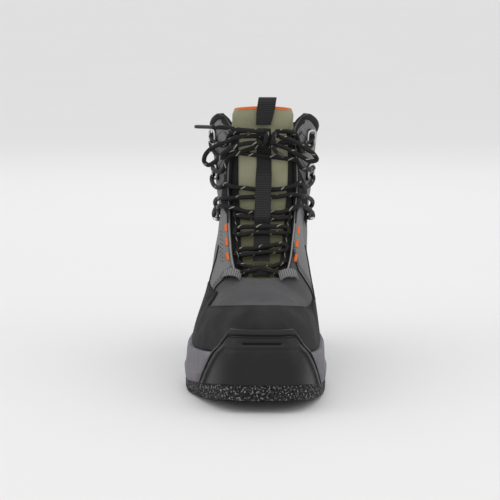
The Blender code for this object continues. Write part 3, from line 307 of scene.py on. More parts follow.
def half_outline(side):
    turn = np.linspace(0, math.pi, 1201)
    share = (1 - np.cos(turn)) / 2
    end = np.sin(turn) ** mix(TOE_ROUND, HEEL_ROUND, ease(share))
    x = smooth(SOLE_ROWS, 1, share) * BALL_WIDTH + side * half_width(share) * end
    y = HEEL_BEHIND - SOLE_LENGTH * (1 - share)
    run = np.concatenate([[0], np.cumsum(np.hypot(np.diff(x), np.diff(y)))])
    return x, y, run / run[-1]


outlines = {side: half_outline(side) for side in (-1, 1)}


def wrap(u):
    return (np.asarray(u, float) + 1) % 2 - 1


def outline(u):
    u = wrap(u)
    (xl, yl, runl), (xm, ym, runm) = outlines[-1], outlines[1]
    x = np.where(u < 0, np.interp(abs(u), runl, xl), np.interp(abs(u), runm, xm))
    return x, np.where(u < 0, np.interp(abs(u), runl, yl), np.interp(abs(u), runm, ym))


def outward(u):
    x0, y0 = outline(np.asarray(u) - 0.012)
    x1, y1 = outline(np.asarray(u) + 0.012)
    length = np.hypot(x1 - x0, y1 - y0)
    return (y1 - y0) / length, -(x1 - x0) / length


def sole_share(u):
    return 1 - (HEEL_BEHIND - outline(u)[1]) / SOLE_LENGTH


def tread_z(share):
    return TOE_SPRING * smooth(SOLE_ROWS, 4, share)


def felt_top(share):
    return tread_z(share) + FELT * smooth(SOLE_ROWS, 5, share)


def footbed(share):
    return felt_top(share) + mix(FOREFOOT_BASE, HEEL_BASE, smooth(SOLE_ROWS, 6, share))


def cup_top(share):
    return footbed(share) + CUP_HEIGHT * smooth(SOLE_ROWS, 7, share)


def inset(u):
    return mix(0.0083, 0.0064, ease((abs(wrap(u)) - 0.10) / 0.16))


def feather(u):
    x, y = outline(u)
    out_x, out_y = outward(u)
    return stack(x - inset(u) * out_x, y - inset(u) * out_y, footbed(sole_share(u)) + GAP)


def skin(u, v):
    u, v = np.broadcast_arrays(wrap(u), np.asarray(v, float))
    around, low = abs(u), feather(u)
    columns = (smooth(UPPER_ROWS, column, around) for column in range(1, 8))
    top_y, top_z, middle, half, over, belly, waist = columns
    top = stack(middle + np.where(u < 0, -1, 1) * half, top_y * SOLE_LENGTH, top_z)
    angle = np.clip(v, 0, 1) * math.pi / 2
    inward = mix(v, 1 - np.cos(angle) ** 0.82, over)[..., None]
    rise = mix(v, np.sin(angle) ** 0.82, over)[..., None]
    out_x, out_y = outward(u)
    swell = (belly * np.exp(-(((v - 0.10) / 0.10) ** 2))
             - waist * ANKLE_WIDTH * np.exp(-(((v - 0.52) / 0.20) ** 2)))
    lean = 0.0055 * np.exp(-(((around - 0.46) / 0.10) ** 2)) * np.exp(-(((v - 0.42) / 0.24) ** 2))
    swell = (swell - lean * (u < 0)) * ease(v / 0.06) * ease((1 - v) / 0.12)
    point = low * (1 - inward) + top * inward
    point[..., 2] = (low * (1 - rise) + top * rise)[..., 2]
    return point + stack(swell * out_x, swell * out_y, 0)


def skin_normal(u, v):
    u, v = np.broadcast_arrays(wrap(u), np.asarray(v, float))

    def one(side_u):
        near = np.clip(v, 0.004, 0.975)
        along = skin(side_u + 0.004, near) - skin(side_u - 0.004, near)
        return unit(np.cross(along, skin(side_u, near + 0.01) - skin(side_u, near - 0.004)))

    normal = one(u)
    ridge = (abs(u) <= THROAT_U) & (v > 0.97)
    return np.where(ridge[..., None], unit(normal + one(-u)), normal)


def off_skin(u, v, distance):
    return skin(u, v) + skin_normal(u, v) * np.asarray(distance)[..., None]


dense_u, dense_v = np.linspace(-1, 1, 1201), np.linspace(0, 1, 201)
dense_skin = skin(np.clip(dense_u, -0.9999, 0.9999)[:, None], dense_v[None, :])


def share_at(u, height, tilt=0.0):
    """The v at which each column of the skin meets the plane z + tilt * y = height."""
    u, height = np.broadcast_arrays(wrap(u), np.asarray(height, float))
    level = dense_skin[..., 2] + tilt * dense_skin[..., 1]
    place = (u.ravel() + 1) * (len(dense_u) - 1) / 2
    column = np.clip(place.astype(int), 0, len(dense_u) - 2)
    found = [mix(np.interp(value, level[i], dense_v), np.interp(value, level[i + 1], dense_v), at - i)
             for value, i, at in zip(height.ravel(), column, place)]
    return np.array(found).reshape(u.shape)


def throat_u(level):
    return mix(THROAT_U + THROAT_TUCK, THROAT_TOP_U, level)


def throat_edge(u, side):
    one = side * np.asarray(u, float)
    full = np.ones_like(one)
    along = unit(skin(one + side * 0.006, full) - skin(one - side * 0.006, full))
    return skin(one, full), side * unit(np.cross(skin_normal(one, 0.97 * full), along))


def bridge(level, a):
    """The surface across the throat: level runs up it, a from its lateral edge to its medial one."""
    level, a = np.broadcast_arrays(np.asarray(level, float), np.asarray(a, float))
    u = throat_u(level)
    left, from_left = throat_edge(u, -1)
    right, from_right = throat_edge(u, 1)
    pull = 0.75 * np.linalg.norm(right - left, axis=-1, keepdims=True)
    t = a[..., None]
    return (left * (1 + 2 * t) * (1 - t) ** 2 + from_left * pull * t * (1 - t) ** 2
            + right * t * t * (3 - 2 * t) + from_right * pull * t * t * (1 - t))


def bridge_normal(level, a):
    level, a = np.broadcast_arrays(np.clip(level, 0.01, 0.99), np.asarray(a, float))
    across = bridge(level, a + 0.01) - bridge(level, a - 0.01)
    return unit(np.cross(across, bridge(level + 0.01, a) - bridge(level - 0.01, a)))


def throat_point(level, share, lift):
    """A place over the throat, or over the upper beside it where the share is below 0 or above 1."""
    level, share, lift = np.broadcast_arrays(*(np.asarray(a, float) for a in (level, share, lift)))
    u = throat_u(level)
    across = np.clip(share, 0, 1)
    over = bridge(level, across) + bridge_normal(level, across) * lift[..., None]
    beside = off_skin(np.where(share < 0.5, -u, u), 1 - abs(share - across), lift)
    return np.where((share == across)[..., None], over, beside)


def build(name, verts, faces, material, uv=None, merge=1e-6):
    """A smooth piece from points and faces, its doubles merged, riding on the boot."""
    mesh = bpy.data.meshes.new(name)
    points = np.asarray(verts, float).reshape(-1, 3)
    mesh.from_pydata([tuple(point) for point in points], [], [tuple(face) for face in faces])
    if uv is not None:
        layer = mesh.uv_layers.new(name="UVMap")
        corners = np.empty(len(mesh.loops), int)
        mesh.loops.foreach_get("vertex_index", corners)
        layer.data.foreach_set("uv", np.asarray(uv, float).reshape(-1, 2)[corners].astype(np.float32).ravel())
    work = bmesh.new()
    work.from_mesh(mesh)
    bmesh.ops.remove_doubles(work, verts=work.verts, dist=merge)
    bmesh.ops.dissolve_degenerate(work, edges=work.edges, dist=1e-7)
    bmesh.ops.recalc_face_normals(work, faces=work.faces)
    work.to_mesh(mesh)
    work.free()
    mesh.shade_smooth()
    mesh.set_sharp_from_angle(angle=math.radians(48))
    obj = bpy.data.objects.new(name, mesh)
    bpy.context.scene.collection.objects.link(obj)
    mesh.materials.append(material)
    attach(obj, "root")
    return obj


def grid_faces(n, m, start=0, closed=False, flip=False):
    i, k = np.meshgrid(np.arange(n if closed else n - 1), np.arange(m - 1), indexing="ij")
    j = (i + 1) % n
    quads = np.stack([i * m + k, j * m + k, j * m + k + 1, i * m + k + 1], axis=-1).reshape(-1, 4) + start
    return quads[:, ::-1] if flip else quads


def run_lengths(points, axis):
    """Distance run along an axis of a grid of points, for its UV map."""
    steps = np.linalg.norm(np.diff(points, axis=axis), axis=-1)
    return np.concatenate([np.zeros_like(np.take(steps, [0], axis)), np.cumsum(steps, axis)], axis)


def shell(name, outer, inner, material, closed=False, rim=None):
    """A piece with a wall: two grids of points joined round their edges."""
    n, m = outer.shape[:2]
    faces = [grid_faces(n, m, 0, closed), grid_faces(n, m, n * m, closed, True)]
    i = np.arange(n if closed else n - 1)
    j = (i + 1) % n
    faces.append(np.stack([j * m, i * m, i * m + n * m, j * m + n * m], -1))
    top = np.stack([i * m + m - 1, j * m + m - 1, j * m + m - 1 + n * m, i * m + m - 1 + n * m], -1)
    faces.append(top if rim is None else top[rim[i] & rim[j]])
    if not closed:
        k = np.arange(m - 1)
        faces.append(np.stack([k, k + 1, k + 1 + n * m, k + n * m], -1))
        last = (n - 1) * m
        faces.append(np.stack([last + k + 1, last + k, last + k + n * m, last + k + 1 + n * m], -1))
    uv = np.stack([run_lengths(outer, 0), run_lengths(outer, 1)], -1)
    quads = np.concatenate(faces).tolist()
    return build(name, np.concatenate([outer.reshape(-1, 3), inner.reshape(-1, 3)]), quads, material,
                 np.concatenate([uv, uv]).reshape(-1, 2))


# Lace: one round braided cord, black with a grey-olive tracer, laced through webbing loops and behind the
# rollers and hooks. It runs free across the throat, each run a piece of its own.

LACE, AGLET, LACE_SIDES = 0.0038, 0.0032, 14

lace_paint, start = finish_of("braided lace", Roughness=0.62)
around, along = start.uv(0), start.uv(1)
strand_a = (around * 6 + along * 420).wave()
strand_b = (around * 6 - along * 420).wave()
turn = (around + along * 62).math("FRACT")
tracer = turn.span(0.10, 0.13) * (1 - turn.span(0.19, 0.22))
broken = (along * 120 + start.noise(60) * 0.9).wave().span(0.35, 0.55)
fleck = tracer * broken
yarn = strand_a.math("MAXIMUM", strand_b) * 0.7 + start.noise(2500, 2) * 0.3
dark = yarn.tint((0.002, 0.002, 0.002), (0.013, 0.013, 0.013))
pale = yarn.tint((0.12, 0.12, 0.09), (0.42, 0.41, 0.34))
dress(lace_paint, fleck.tint(dark, pale), yarn * -0.15 + 0.75, yarn, 0.0004, 0.9)

aglet_paint, start = finish_of("lace tip", Roughness=0.3, Coat_Weight=0.4)
rings = (start.uv(1) * 900).wave()
dress(aglet_paint, start.noise(400).tint((0.006, 0.006, 0.006), (0.014, 0.014, 0.014)),
      start.noise(300) * 0.2 + 0.2, rings + start.noise(800) * 0.4, 0.0001, 0.4)


def eased(points, step):
    """Points every step along a smooth curve through a cord's own points."""
    points = np.array(points, float)
    runs = np.concatenate([[0], np.cumsum(np.linalg.norm(np.diff(points, axis=0), axis=1))])
    slopes = np.gradient(points, runs, axis=0)
    at = np.linspace(0, runs[-1], max(2, round(runs[-1] / step)) + 1)
    i = np.clip(np.searchsorted(runs, at) - 1, 0, len(runs) - 2)
    span = (runs[i + 1] - runs[i])[:, None]
    t = (at - runs[i])[:, None] / span
    return (points[i] * (1 + 2 * t) * (1 - t) ** 2 + slopes[i] * span * t * (1 - t) ** 2
            + points[i + 1] * t * t * (3 - 2 * t) + slopes[i + 1] * span * t * t * (t - 1))


def swept(name, points, radius, material, sides=LACE_SIDES, flat=1.0, closed=False):
    """A round cord or wire carried along its points, with rounded ends. radius may change along it."""
    points = np.asarray(points, float)
    radius = np.broadcast_to(radius, len(points)).astype(float)
    way = unit(np.roll(points, -1, 0) - np.roll(points, 1, 0) if closed else np.gradient(points, axis=0))
    aside = unit(np.cross(way[0], (0.13, 0.21, 1)))
    frames = []
    for step in way:
        aside = unit(aside - step * (aside @ step))
        frames.append((aside, np.cross(step, aside)))
    if not closed:
        ends = [points[0] - way[0] * radius[0] * 0.35, *points, points[-1] + way[-1] * radius[-1] * 0.35]
        points, radius = np.array(ends), np.concatenate([[radius[0] * 0.6], radius, [radius[-1] * 0.6]])
        frames = [frames[0], *frames, frames[-1]]
    turn = np.linspace(0, 2 * math.pi, sides + 1)
    x, y = np.array([f[0] for f in frames]), np.array([f[1] for f in frames])
    grid = points[:, None] + radius[:, None, None] * (
        x[:, None] * np.cos(turn)[None, :, None] + flat * y[:, None] * np.sin(turn)[None, :, None])
    n, m = grid.shape[:2]
    faces = grid_faces(n, m, 0, closed, True).tolist()
    if not closed:
        faces += [list(range(m - 1)), [(n - 1) * m + k for k in range(m - 1)][::-1]]
    run = np.concatenate([[0], np.cumsum(np.linalg.norm(np.diff(points, axis=0), axis=1))])
    uv = np.stack([np.broadcast_to(turn / (2 * math.pi), (n, m)), np.broadcast_to(run[:, None], (n, m))], -1)
    return build(name, grid, faces, material, uv)


# level up the throat, share across it, lift of the lace's middle in mm
LACE_ROUTES = {
    "lace_row_1_low": ((0.240, 0.075, -1.0), (0.226, 0.10, -0.8), (0.222, 0.14, -0.6), (0.230, 0.38, -1.1),
                       (0.243, 0.62, -1.1), (0.255, 0.87, -0.6), (0.262, 0.91, -0.8), (0.278, 0.93, -1.0)),
    "lace_row_1_high": ((0.240, 0.075, -1.0), (0.254, 0.10, -0.8), (0.258, 0.13, -0.6), (0.266, 0.38, -1.1),
                        (0.285, 0.62, -1.1), (0.295, 0.87, -0.6), (0.292, 0.91, -0.8), (0.278, 0.93, -1.0)),
    "lace_row_2_low": ((0.386, 0.075, -1.0), (0.366, 0.10, -0.7), (0.362, 0.14, -0.5), (0.370, 0.38, -1.0),
                       (0.372, 0.62, -1.0), (0.374, 0.87, -0.5), (0.377, 0.91, -0.7), (0.393, 0.93, -1.0)),
    "lace_row_2_high": ((0.386, 0.075, -1.0), (0.406, 0.10, -0.7), (0.410, 0.14, -0.3), (0.408, 0.38, 0.3),
                        (0.408, 0.62, 0.3), (0.412, 0.87, -0.3), (0.409, 0.91, -0.7), (0.393, 0.93, -1.0)),
    "lace_ankle_low": ((0.520, 0.075, -1.2), (0.510, 0.11, -0.8), (0.505, 0.15, -0.6), (0.490, 0.28, -2.2),
                       (0.485, 0.42, -2.6), (0.479, 0.60, -2.6), (0.482, 0.76, -2.2), (0.495, 0.87, -0.6),
                       (0.500, 0.91, -0.8), (0.512, 0.93, -1.2)),
    "lace_ankle_high": ((0.640, -0.13, 3.1), (0.590, -0.04, 3.1), (0.560, 0.10, 1.3),
                        (0.534, 0.27, -2.2), (0.528, 0.42, -2.6), (0.524, 0.60, -2.6), (0.528, 0.76, -2.0),
                        (0.552, 0.91, 1.4), (0.600, 1.04, 3.1), (0.640, 1.12, 3.1)),
    "lace_shaft_low": ((0.700, -0.14, 3.4), (0.640, -0.04, 3.3), (0.622, 0.10, 1.7),
                       (0.625, 0.27, -2.0), (0.624, 0.42, -2.6), (0.622, 0.60, -2.6), (0.632, 0.76, -1.8),
                       (0.645, 0.92, 1.8), (0.665, 1.05, 3.3), (0.705, 1.12, 3.4)),
    "lace_shaft_high": ((0.745, -0.09, 3.2), (0.715, -0.02, 3.1), (0.685, 0.10, 1.4),
                        (0.675, 0.27, -1.8), (0.664, 0.42, -2.6), (0.664, 0.60, -2.6), (0.672, 0.76, -1.8),
                        (0.694, 0.91, 1.6), (0.725, 1.02, 3.1), (0.755, 1.09, 3.2)),
    "lace_top_lateral": ((0.962, -0.05, 3.8), (0.970, 0.06, 2.0), (0.980, 0.20, 0.6),
                         (0.978, 0.36, 0.6)),
    "lace_top_medial": ((0.962, 1.05, 3.8), (0.970, 0.94, 2.0), (0.980, 0.80, 0.6),
                        (0.978, 0.64, 0.6)),
}
CROSSING_ROUTES = {
    "lace_cross_toe": (
        ((0.162, 0.10, -0.8), (0.148, 0.13, -0.5), (0.122, 0.30, -1.0), (0.102, 0.50, -1.2),
         (0.082, 0.68, -0.9), (0.068, 0.82, 0.2), (0.058, 0.93, 1.6), (0.050, 1.00, 2.7), (0.044, 1.07, 3.0),
         (0.036, 1.13, 2.9)),
        ((0.036, -0.13, 2.9), (0.044, -0.07, 3.0), (0.052, 0.00, 2.7), (0.064, 0.07, 1.3),
         (0.078, 0.13, -0.3), (0.088, 0.30, -0.9), (0.104, 0.50, -0.2), (0.128, 0.70, -0.9),
         (0.168, 0.89, -0.5), (0.180, 0.92, -0.8)),
    ),
    "lace_cross_shaft": (
        ((0.905, -0.06, 3.2), (0.892, 0.06, 2.0), (0.876, 0.22, -0.7), (0.862, 0.42, -1.0),
         (0.852, 0.60, -1.0), (0.845, 0.78, -0.5), (0.838, 0.93, 2.0), (0.836, 1.04, 3.2)),
        ((0.842, -0.07, 3.2), (0.854, 0.04, 2.2), (0.876, 0.22, 0.4), (0.900, 0.38, -0.7),
         (0.918, 0.52, -0.9), (0.928, 0.70, -0.7), (0.928, 0.86, 0.9), (0.926, 0.96, 2.5),
         (0.918, 1.03, 3.2)),
    ),
}
ROW_STEP = 0.0022
FREE, OVER_UPPER, UNDER_LOWER = (None, 0, 0), ("upper", -2.4, -1.4), ("lower", 2.4, 1.4)
CROSSING_HOOKS = {
    "lace_cross_toe": ((FREE, FREE), (FREE, FREE)),
    "lace_cross_shaft": ((OVER_UPPER, UNDER_LOWER), (UNDER_LOWER, OVER_UPPER)),
}
HOOKED = {
    # run: (hook row, up the tab at the run's approach and behind the metal, in mm)
    "lace_ankle_high": ("ankle", -3.6, -2.6),
    "lace_shaft_low": ("ankle", 4.4, 2.8),
    "lace_shaft_high": ("lower", -2.6, -1.6),
    "lace_top_lateral": ("upper", 1.5, 1.2),
    "lace_top_medial": ("upper", 1.5, 1.2),
}
HARDWARE_ROWS = (
    # name, |u| lateral, |u| medial, height, kind, throat edge from and to
    ("upper", 0.700, 0.682, 0.905 * PEAK_HEIGHT, "hook", 0.636, 0.659),
    ("lower", 0.692, 0.688, 0.768 * PEAK_HEIGHT, "hook", 0.586, 0.618),
    ("ankle", 0.657, 0.690, 0.594 * PEAK_HEIGHT, "roller", 0.505, 0.566),
)


def seat(side, u, height):
    """Place on the skin: its point, its outward, upward and forward directions."""
    one = np.array([side * u])
    v = share_at(one, height)
    point, out = skin(one, v)[0], skin_normal(one, v)[0]
    up = unit(np.array([0, 0, 1.0]) - out * out[2])
    return point, out, up, np.cross(up, out) * side


hardware_places = {
    (name, side): seat(side, lateral_u if side < 0 else medial_u, height)
    for name, lateral_u, medial_u, height, *_ in HARDWARE_ROWS for side in (-1, 1)
}


def round_metal(hook, side, near, behind):
    """Points from beside a hook or roller to a place behind it."""
    point, out, up, fore = hardware_places[hook, side]
    steps = ((4.6, near * 0.9, 2.8), (2.0, behind, 1.7), (0.0, behind * 0.6, 1.0))
    return [point + (fore * x + up * y + out * z) / 1000 for x, y, z in steps]


def lace_run(name, route, replaced, hooks):
    """One run of lace from a route's points, carried on behind the metal at either end."""
    level, share, lift = np.array(route).T
    points = list(throat_point(level, share, lift / 1000))
    for (hook, near, behind), side in zip(hooks, (-1, 1)):
        if hook:
            more = round_metal(hook, side, near, behind)
            points = more[::-1] + points if side < 0 else points + more
    piece = swept(name, eased(points, ROW_STEP), LACE / 2, lace_paint)
    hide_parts(replaced)


for name, route in LACE_ROUTES.items():
    end = HOOKED.get(name, FREE)
    if name == "lace_top_lateral":
        lace_run(f"{name}_cord", route, name, (end, FREE))
    elif name == "lace_top_medial":
        lace_run(f"{name}_cord", route[::-1], name, (FREE, end))
    else:
        lace_run(f"{name}_cord", route, name, (end, end))
for name, runs in CROSSING_ROUTES.items():
    for count, (route, hooks) in enumerate(zip(runs, CROSSING_HOOKS[name]), 1):
        lace_run(f"{name}_run_{count}", route, name, hooks)


# Bow: a knot under the tongue's top with two loops and two ends of the same lace, in mm from the floor
# under the heel. The loops and ends hang free in front of the shaft, each end in a sleeved tip.

BOW_BACK, BOW_STEP = 0.0015, 0.0016
BOW_ROUTES = {
    "bow_knot": (
        (-1.6, -101.0, 196.8), (1.6, -99.0, 193.0), (2.4, -103.5, 189.6), (3.4, -108.2, 194.0),
        (4.6, -105.0, 199.6), (5.8, -98.6, 199.0), (6.6, -97.4, 192.0), (7.8, -102.5, 188.6),
        (9.2, -108.0, 192.4), (10.4, -105.5, 199.0), (11.6, -99.6, 198.6), (14.0, -100.9, 196.6),
    ),
    "bow_loop_lateral": (
        (-2.9, -101.4, 197.0), (-13.7, -102.0, 196.8), (-22.8, -100.0, 195.0), (-29.5, -97.5, 191.5),
        (-37.0, -96.0, 188.9), (-43.2, -95.0, 185.1), (-47.4, -95.0, 179.7), (-48.0, -95.0, 175.0),
        (-44.9, -96.0, 172.4), (-39.4, -98.0, 174.9), (-34.7, -100.0, 179.5), (-30.1, -102.0, 184.0),
        (-22.5, -103.5, 188.4), (-12.8, -104.8, 191.2), (0.3, -105.0, 191.8),
    ),
    "bow_loop_medial": (
        (15.1, -101.0, 196.0), (23.0, -101.5, 194.2), (30.0, -99.5, 190.6), (37.0, -96.5, 186.0),
        (43.5, -93.0, 180.8), (45.6, -91.5, 176.6), (41.0, -94.0, 175.4), (33.5, -97.0, 179.4),
        (25.0, -101.5, 184.6), (17.6, -103.8, 188.4), (11.4, -104.6, 190.2),
    ),
    "lace_end_lateral": (
        (2.2, -104.8, 201.0), (-8.0, -104.0, 201.6), (-16.5, -104.0, 202.2), (-24.3, -102.5, 203.2),
        (-31.9, -101.5, 204.1), (-40.6, -100.0, 204.2),
    ),
    "lace_end_medial": (
        (9.3, -108.8, 189.4), (10.3, -108.9, 187.5), (11.4, -108.8, 185.9), (12.4, -108.6, 184.4),
    ),
}
AGLET_ROUTES = {
    "lace_end_lateral": ("aglet_lateral", ((-41.2, -99.9, 204.2), (-55.4, -97.8, 204.4))),
    "lace_end_medial": ("aglet_medial", ((12.9, -108.3, 183.9), (17.9, -105.4, 180.4))),
}
FAR_ENDS = {"bow_knot": "object", "bow_loop_lateral": "knot", "bow_loop_medial": "knot"}

for name, route in sorted(BOW_ROUTES.items(), reverse=True):
    path = eased(np.array(route) / 1000 + (0, BOW_BACK, 0), BOW_STEP)
    piece = swept(f"{name}_cord", path, LACE / 2, lace_paint)
    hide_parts(name)
    if name in AGLET_ROUTES:
        node, (start_point, end_point) = AGLET_ROUTES[name]
        line = np.linspace(start_point, end_point, 12) / 1000 + (0, BOW_BACK, 0)
        tip = swept(f"{node}_sleeve", line, AGLET / 2 * np.array([1.0] * 10 + [0.96, 0.8]), aglet_paint)
        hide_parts(node)
    if name == "lace_end_medial":
        continue
    tuple(path[0])
    FAR_ENDS.get(name, "bare")
    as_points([tuple(p) for p in path[::4]] + [tuple(path[-1])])


# Felt outsole: two pads of pressed felt, charcoal with pale and dark fibres, glued under the midsole with a
# break under the arch. The cut sides show the fibres as flecks.

felt_paint, start = finish_of("pressed felt", Roughness=0.97)
pale_fibre = start.noise(620, 5).span(0.54, 0.66)
deep = start.noise(600, 3).span(0.40, 0.62)
body_colour = deep.tint((0.005, 0.005, 0.005), (0.030, 0.030, 0.031))
fibres = start.noise(1500, 5) + start.noise(280, 3) * 0.8
dress(felt_paint, pale_fibre.tint(body_colour, (0.30, 0.30, 0.30)), None, fibres, 0.0008, 0.9)


def felt_pad(name, first, last, node):
    """A felt pad between two shares of the sole's length, its cut edge lightly rounded."""
    turn = np.linspace(math.acos(1 - 2 * first), math.acos(1 - 2 * last), 90)
    share = (1 - np.cos(turn)) / 2
    half = half_width(share) * np.sin(turn) ** mix(TOE_ROUND, HEEL_ROUND, ease(share)) - 0.0004
    middle = smooth(SOLE_ROWS, 1, share) * BALL_WIDTH
    y = HEEL_BEHIND - SOLE_LENGTH * (1 - share)
    low, high = tread_z(share), felt_top(share)
    soft = np.minimum(0.0016, half / 2)
    section = [(-1, 1, 0, 0), (1, 1, 0, 0), (1, 0.3, 0, 0.3), (1, 0, 0, 1), (1, 0, 0.5, 1), (1, 0.15, 1, 0),
               (-1, 0.15, 1, 0), (-1, 0, 0.5, 1), (-1, 0, 0, 1), (-1, 0.3, 0, 0.3)]
    rings = np.stack([stack(middle + side * (half - soft * back), y, low + (high - low) * up + soft * lift)
                      for side, back, up, lift in section], 1)
    n, m = rings.shape[:2]
    rings = np.concatenate([rings, rings[:, :1]], 1)
    faces = grid_faces(n, m + 1).tolist() + [list(range(m)), [(n - 1) * (m + 1) + k for k in range(m)][::-1]]
    piece = build(name, rings, faces, felt_paint)
    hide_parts(node)


felt_pad("forefoot_felt", 0.004, FELT_BREAK[0], "felt_forefoot")
felt_pad("heel_felt", FELT_BREAK[1], 0.996, "felt_heel")


# Midsole: one moulded cup of grey rubber foam, with a lower band, a thin step and a plain upper side. Its
# surface is fine-grained and matt, a little darker along the step.

BUMPER, BUMPER_SEAT, RAND_SEAT, RAND, CUP_SEAT = 0.0043, 0.0018, 0.0005, 0.0014, 0.0006
BUMPER_FOOT_U, BUMPER_HEAD_U, BUMPER_BLEND_U, BUMPER_FOOT, BUMPER_HEIGHT = 0.208, 0.087, 0.026, 0.0218, 0.0598


def midsole_bottom(share):
    arch = ease((share - FELT_BREAK[0]) / 0.03) * ease((FELT_BREAK[1] - share) / 0.03)
    return felt_top(share) + GAP + SHANK_LIFT * arch


def bumper_edge(rise):
    """u of the bumper's side edge, at a share of its height."""
    return mix(BUMPER_FOOT_U, BUMPER_HEAD_U, rise)


def midsole_offset(u, height):
    """Distance of the midsole's side outside the feather line: flared, and set back behind the bumper."""
    share = sole_share(u)
    bottom = midsole_bottom(share)
    level = (height - bottom) / (cup_top(share) - bottom)
    flare = np.interp(level, (0, 0.05, 0.27, 0.30, 0.34, 0.37, 0.62, 0.92, 1),
                      (-0.0006, 0, 0.0006, 0.0005, -0.0004, -0.0006, -0.0012, -0.0016, -0.0026))
    up = (height - felt_top(share)) / (BUMPER_HEIGHT - felt_top(share))
    covered = ease((bumper_edge(up) + BUMPER_BLEND_U - abs(wrap(u))) / BUMPER_BLEND_U)
    return inset(u) + flare * (1 - covered) - (BUMPER + GAP) * covered


def foot_side(u, height):
    """Point and outward direction on the skin at a height, carried straight down below the feather line."""
    u, height = np.broadcast_arrays(np.asarray(u, float), np.asarray(height, float))
    low = feather(u)
    v = share_at(u, height)
    above = (height > low[..., 2])[..., None]
    point = np.where(above, skin(u, v), low)
    point[..., 2] = height
    out_x, out_y = outward(u)
    return point, np.where(above, skin_normal(u, v), stack(out_x, out_y, 0))


midsole_paint, start = finish_of("moulded midsole", Roughness=0.7)
worn = start.noise(35, 4).span(0.3, 0.75)
dress(midsole_paint, worn.tint((0.140, 0.132, 0.148), (0.190, 0.180, 0.200)), worn * -0.12 + 0.74,
      start.noise(1400, 3) + start.noise(90, 2) * 0.3, 0.00025, 0.5)

around = np.linspace(-1, 1, 241)[:-1]
share = sole_share(around)
levels = np.array((0, 0.02, 0.05, 0.16, 0.27, 0.285, 0.30, 0.33, 0.345, 0.36, 0.48, 0.62, 0.78, 0.92, 0.97,
                   1))
u, level = np.meshgrid(around, levels, indexing="ij")
height = mix(midsole_bottom(share)[:, None], cup_top(share)[:, None], level)
point, normal = foot_side(u, height)
side = point + unit(normal * (1, 1, 0)) * midsole_offset(u, height)[..., None]
side[..., 2] = height
lip = share_at(around, cup_top(share))
inner_v = lip[:, None] * np.linspace(1, 0, 7)[None, :]
cup = off_skin(around[:, None], inner_v, CUP_SEAT)
cup[:, -1, 2] = footbed(share)
section = np.concatenate([side, cup], 1)
n, m = section.shape[:2]
faces = grid_faces(n, m, 0, True).tolist()
for edge in (0, m - 1):
    for i in range(n // 2):
        faces.append([k % n * m + edge for k in (i, i + 1, n - i - 1, n - i)])
midsole = build("midsole_shell", section, faces, midsole_paint)
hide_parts("midsole")


# Toe bumper: black moulded rubber bonded over the toe, with a raised border, a second rib inside it, a thin
# slot across its head and a smooth recessed face. It is softly glossy and lightly scuffed.

bumper_paint, start = finish_of("black moulded rubber", Roughness=0.38, Specular_IOR_Level=0.32)
scuff = start.noise(60, 5).span(0.52, 0.75)
dress(bumper_paint, scuff.tint((0.006, 0.006, 0.006), (0.012, 0.012, 0.012)), scuff * 0.2 + 0.36,
      start.noise(1500, 3) + start.noise(120, 2) * 0.6, 0.00012, 0.5)

MM_PER_U, SLOT_DOWN_MM, SLOT_HALF_MM, SLOT_END_U = 335, 8.9, 0.45, 0.050
b, across = np.linspace(0, 1, 150), np.linspace(-1, 1, 201)
edge = bumper_edge(b)
u = edge[:, None] * across[None, :]
share = sole_share(u)
foot = felt_top(share) + GAP
height = mix(foot, BUMPER_HEIGHT, b[:, None])
point, normal = foot_side(u, height)
over = ease((height - cup_top(share) - 0.0005) / 0.005)
normal = unit(normal * stack(1, 1, over))
flat = unit(normal * (1, 1, 0))
low = mix(point + flat * (midsole_offset(u, height) + BUMPER_SEAT)[..., None],
          point + normal * (RAND_SEAT + RAND + BUMPER_SEAT), over[..., None])
face_mm = (1 - b[:, None]) * (BUMPER_HEIGHT - BUMPER_FOOT) * 1000
in_mm = np.minimum((edge[:, None] - abs(u)) * MM_PER_U, face_mm)
profile = np.interp(in_mm, (0, 0.5, 1.2, 3.6, 4.3, 5.2, 5.9, 8.0, 10.4, 11.5, 13.0),
                    (0.30, 0.85, 1.08, 1.10, 0.56, 0.54, 1.00, 1.04, 1.02, 0.66, 0.62))
slot = np.exp(-((face_mm - SLOT_DOWN_MM) / SLOT_HALF_MM) ** 2) * ease((SLOT_END_U - abs(u)) / 0.008)
thick = mix(BUMPER, 0.65 * BUMPER, over) * (profile - 0.40 * slot)
high = low + normal * thick[..., None]
bumper = shell("toe_bumper_moulding", high.transpose(1, 0, 2), low.transpose(1, 0, 2), bumper_paint)
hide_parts("toe_bumper")


# Insole: a dark foam footbed that shows only from above, down the shaft. The solid itself is shown, and only
# takes this material.

foam_paint, start = finish_of("insole foam", Roughness=0.95)
dress(foam_paint, start.cells(500).tint((0.020, 0.020, 0.021), (0.055, 0.055, 0.057)),
      start.noise(50) * 0.1 + 0.88, start.cells(700), 0.0003, 0.6)
insole = bpy.data.objects["insole"]
for holder in insole.material_slots:
    holder.material = foam_paint
if not insole.material_slots:
    insole.data.materials.append(foam_paint)


# Upper: nubuck-like synthetic over the vamp, a padded collar and a fabric lining, lasted in one shell. The
# flex line over the toes and the ankle carry soft creases, and the nap is brushed a little unevenly.

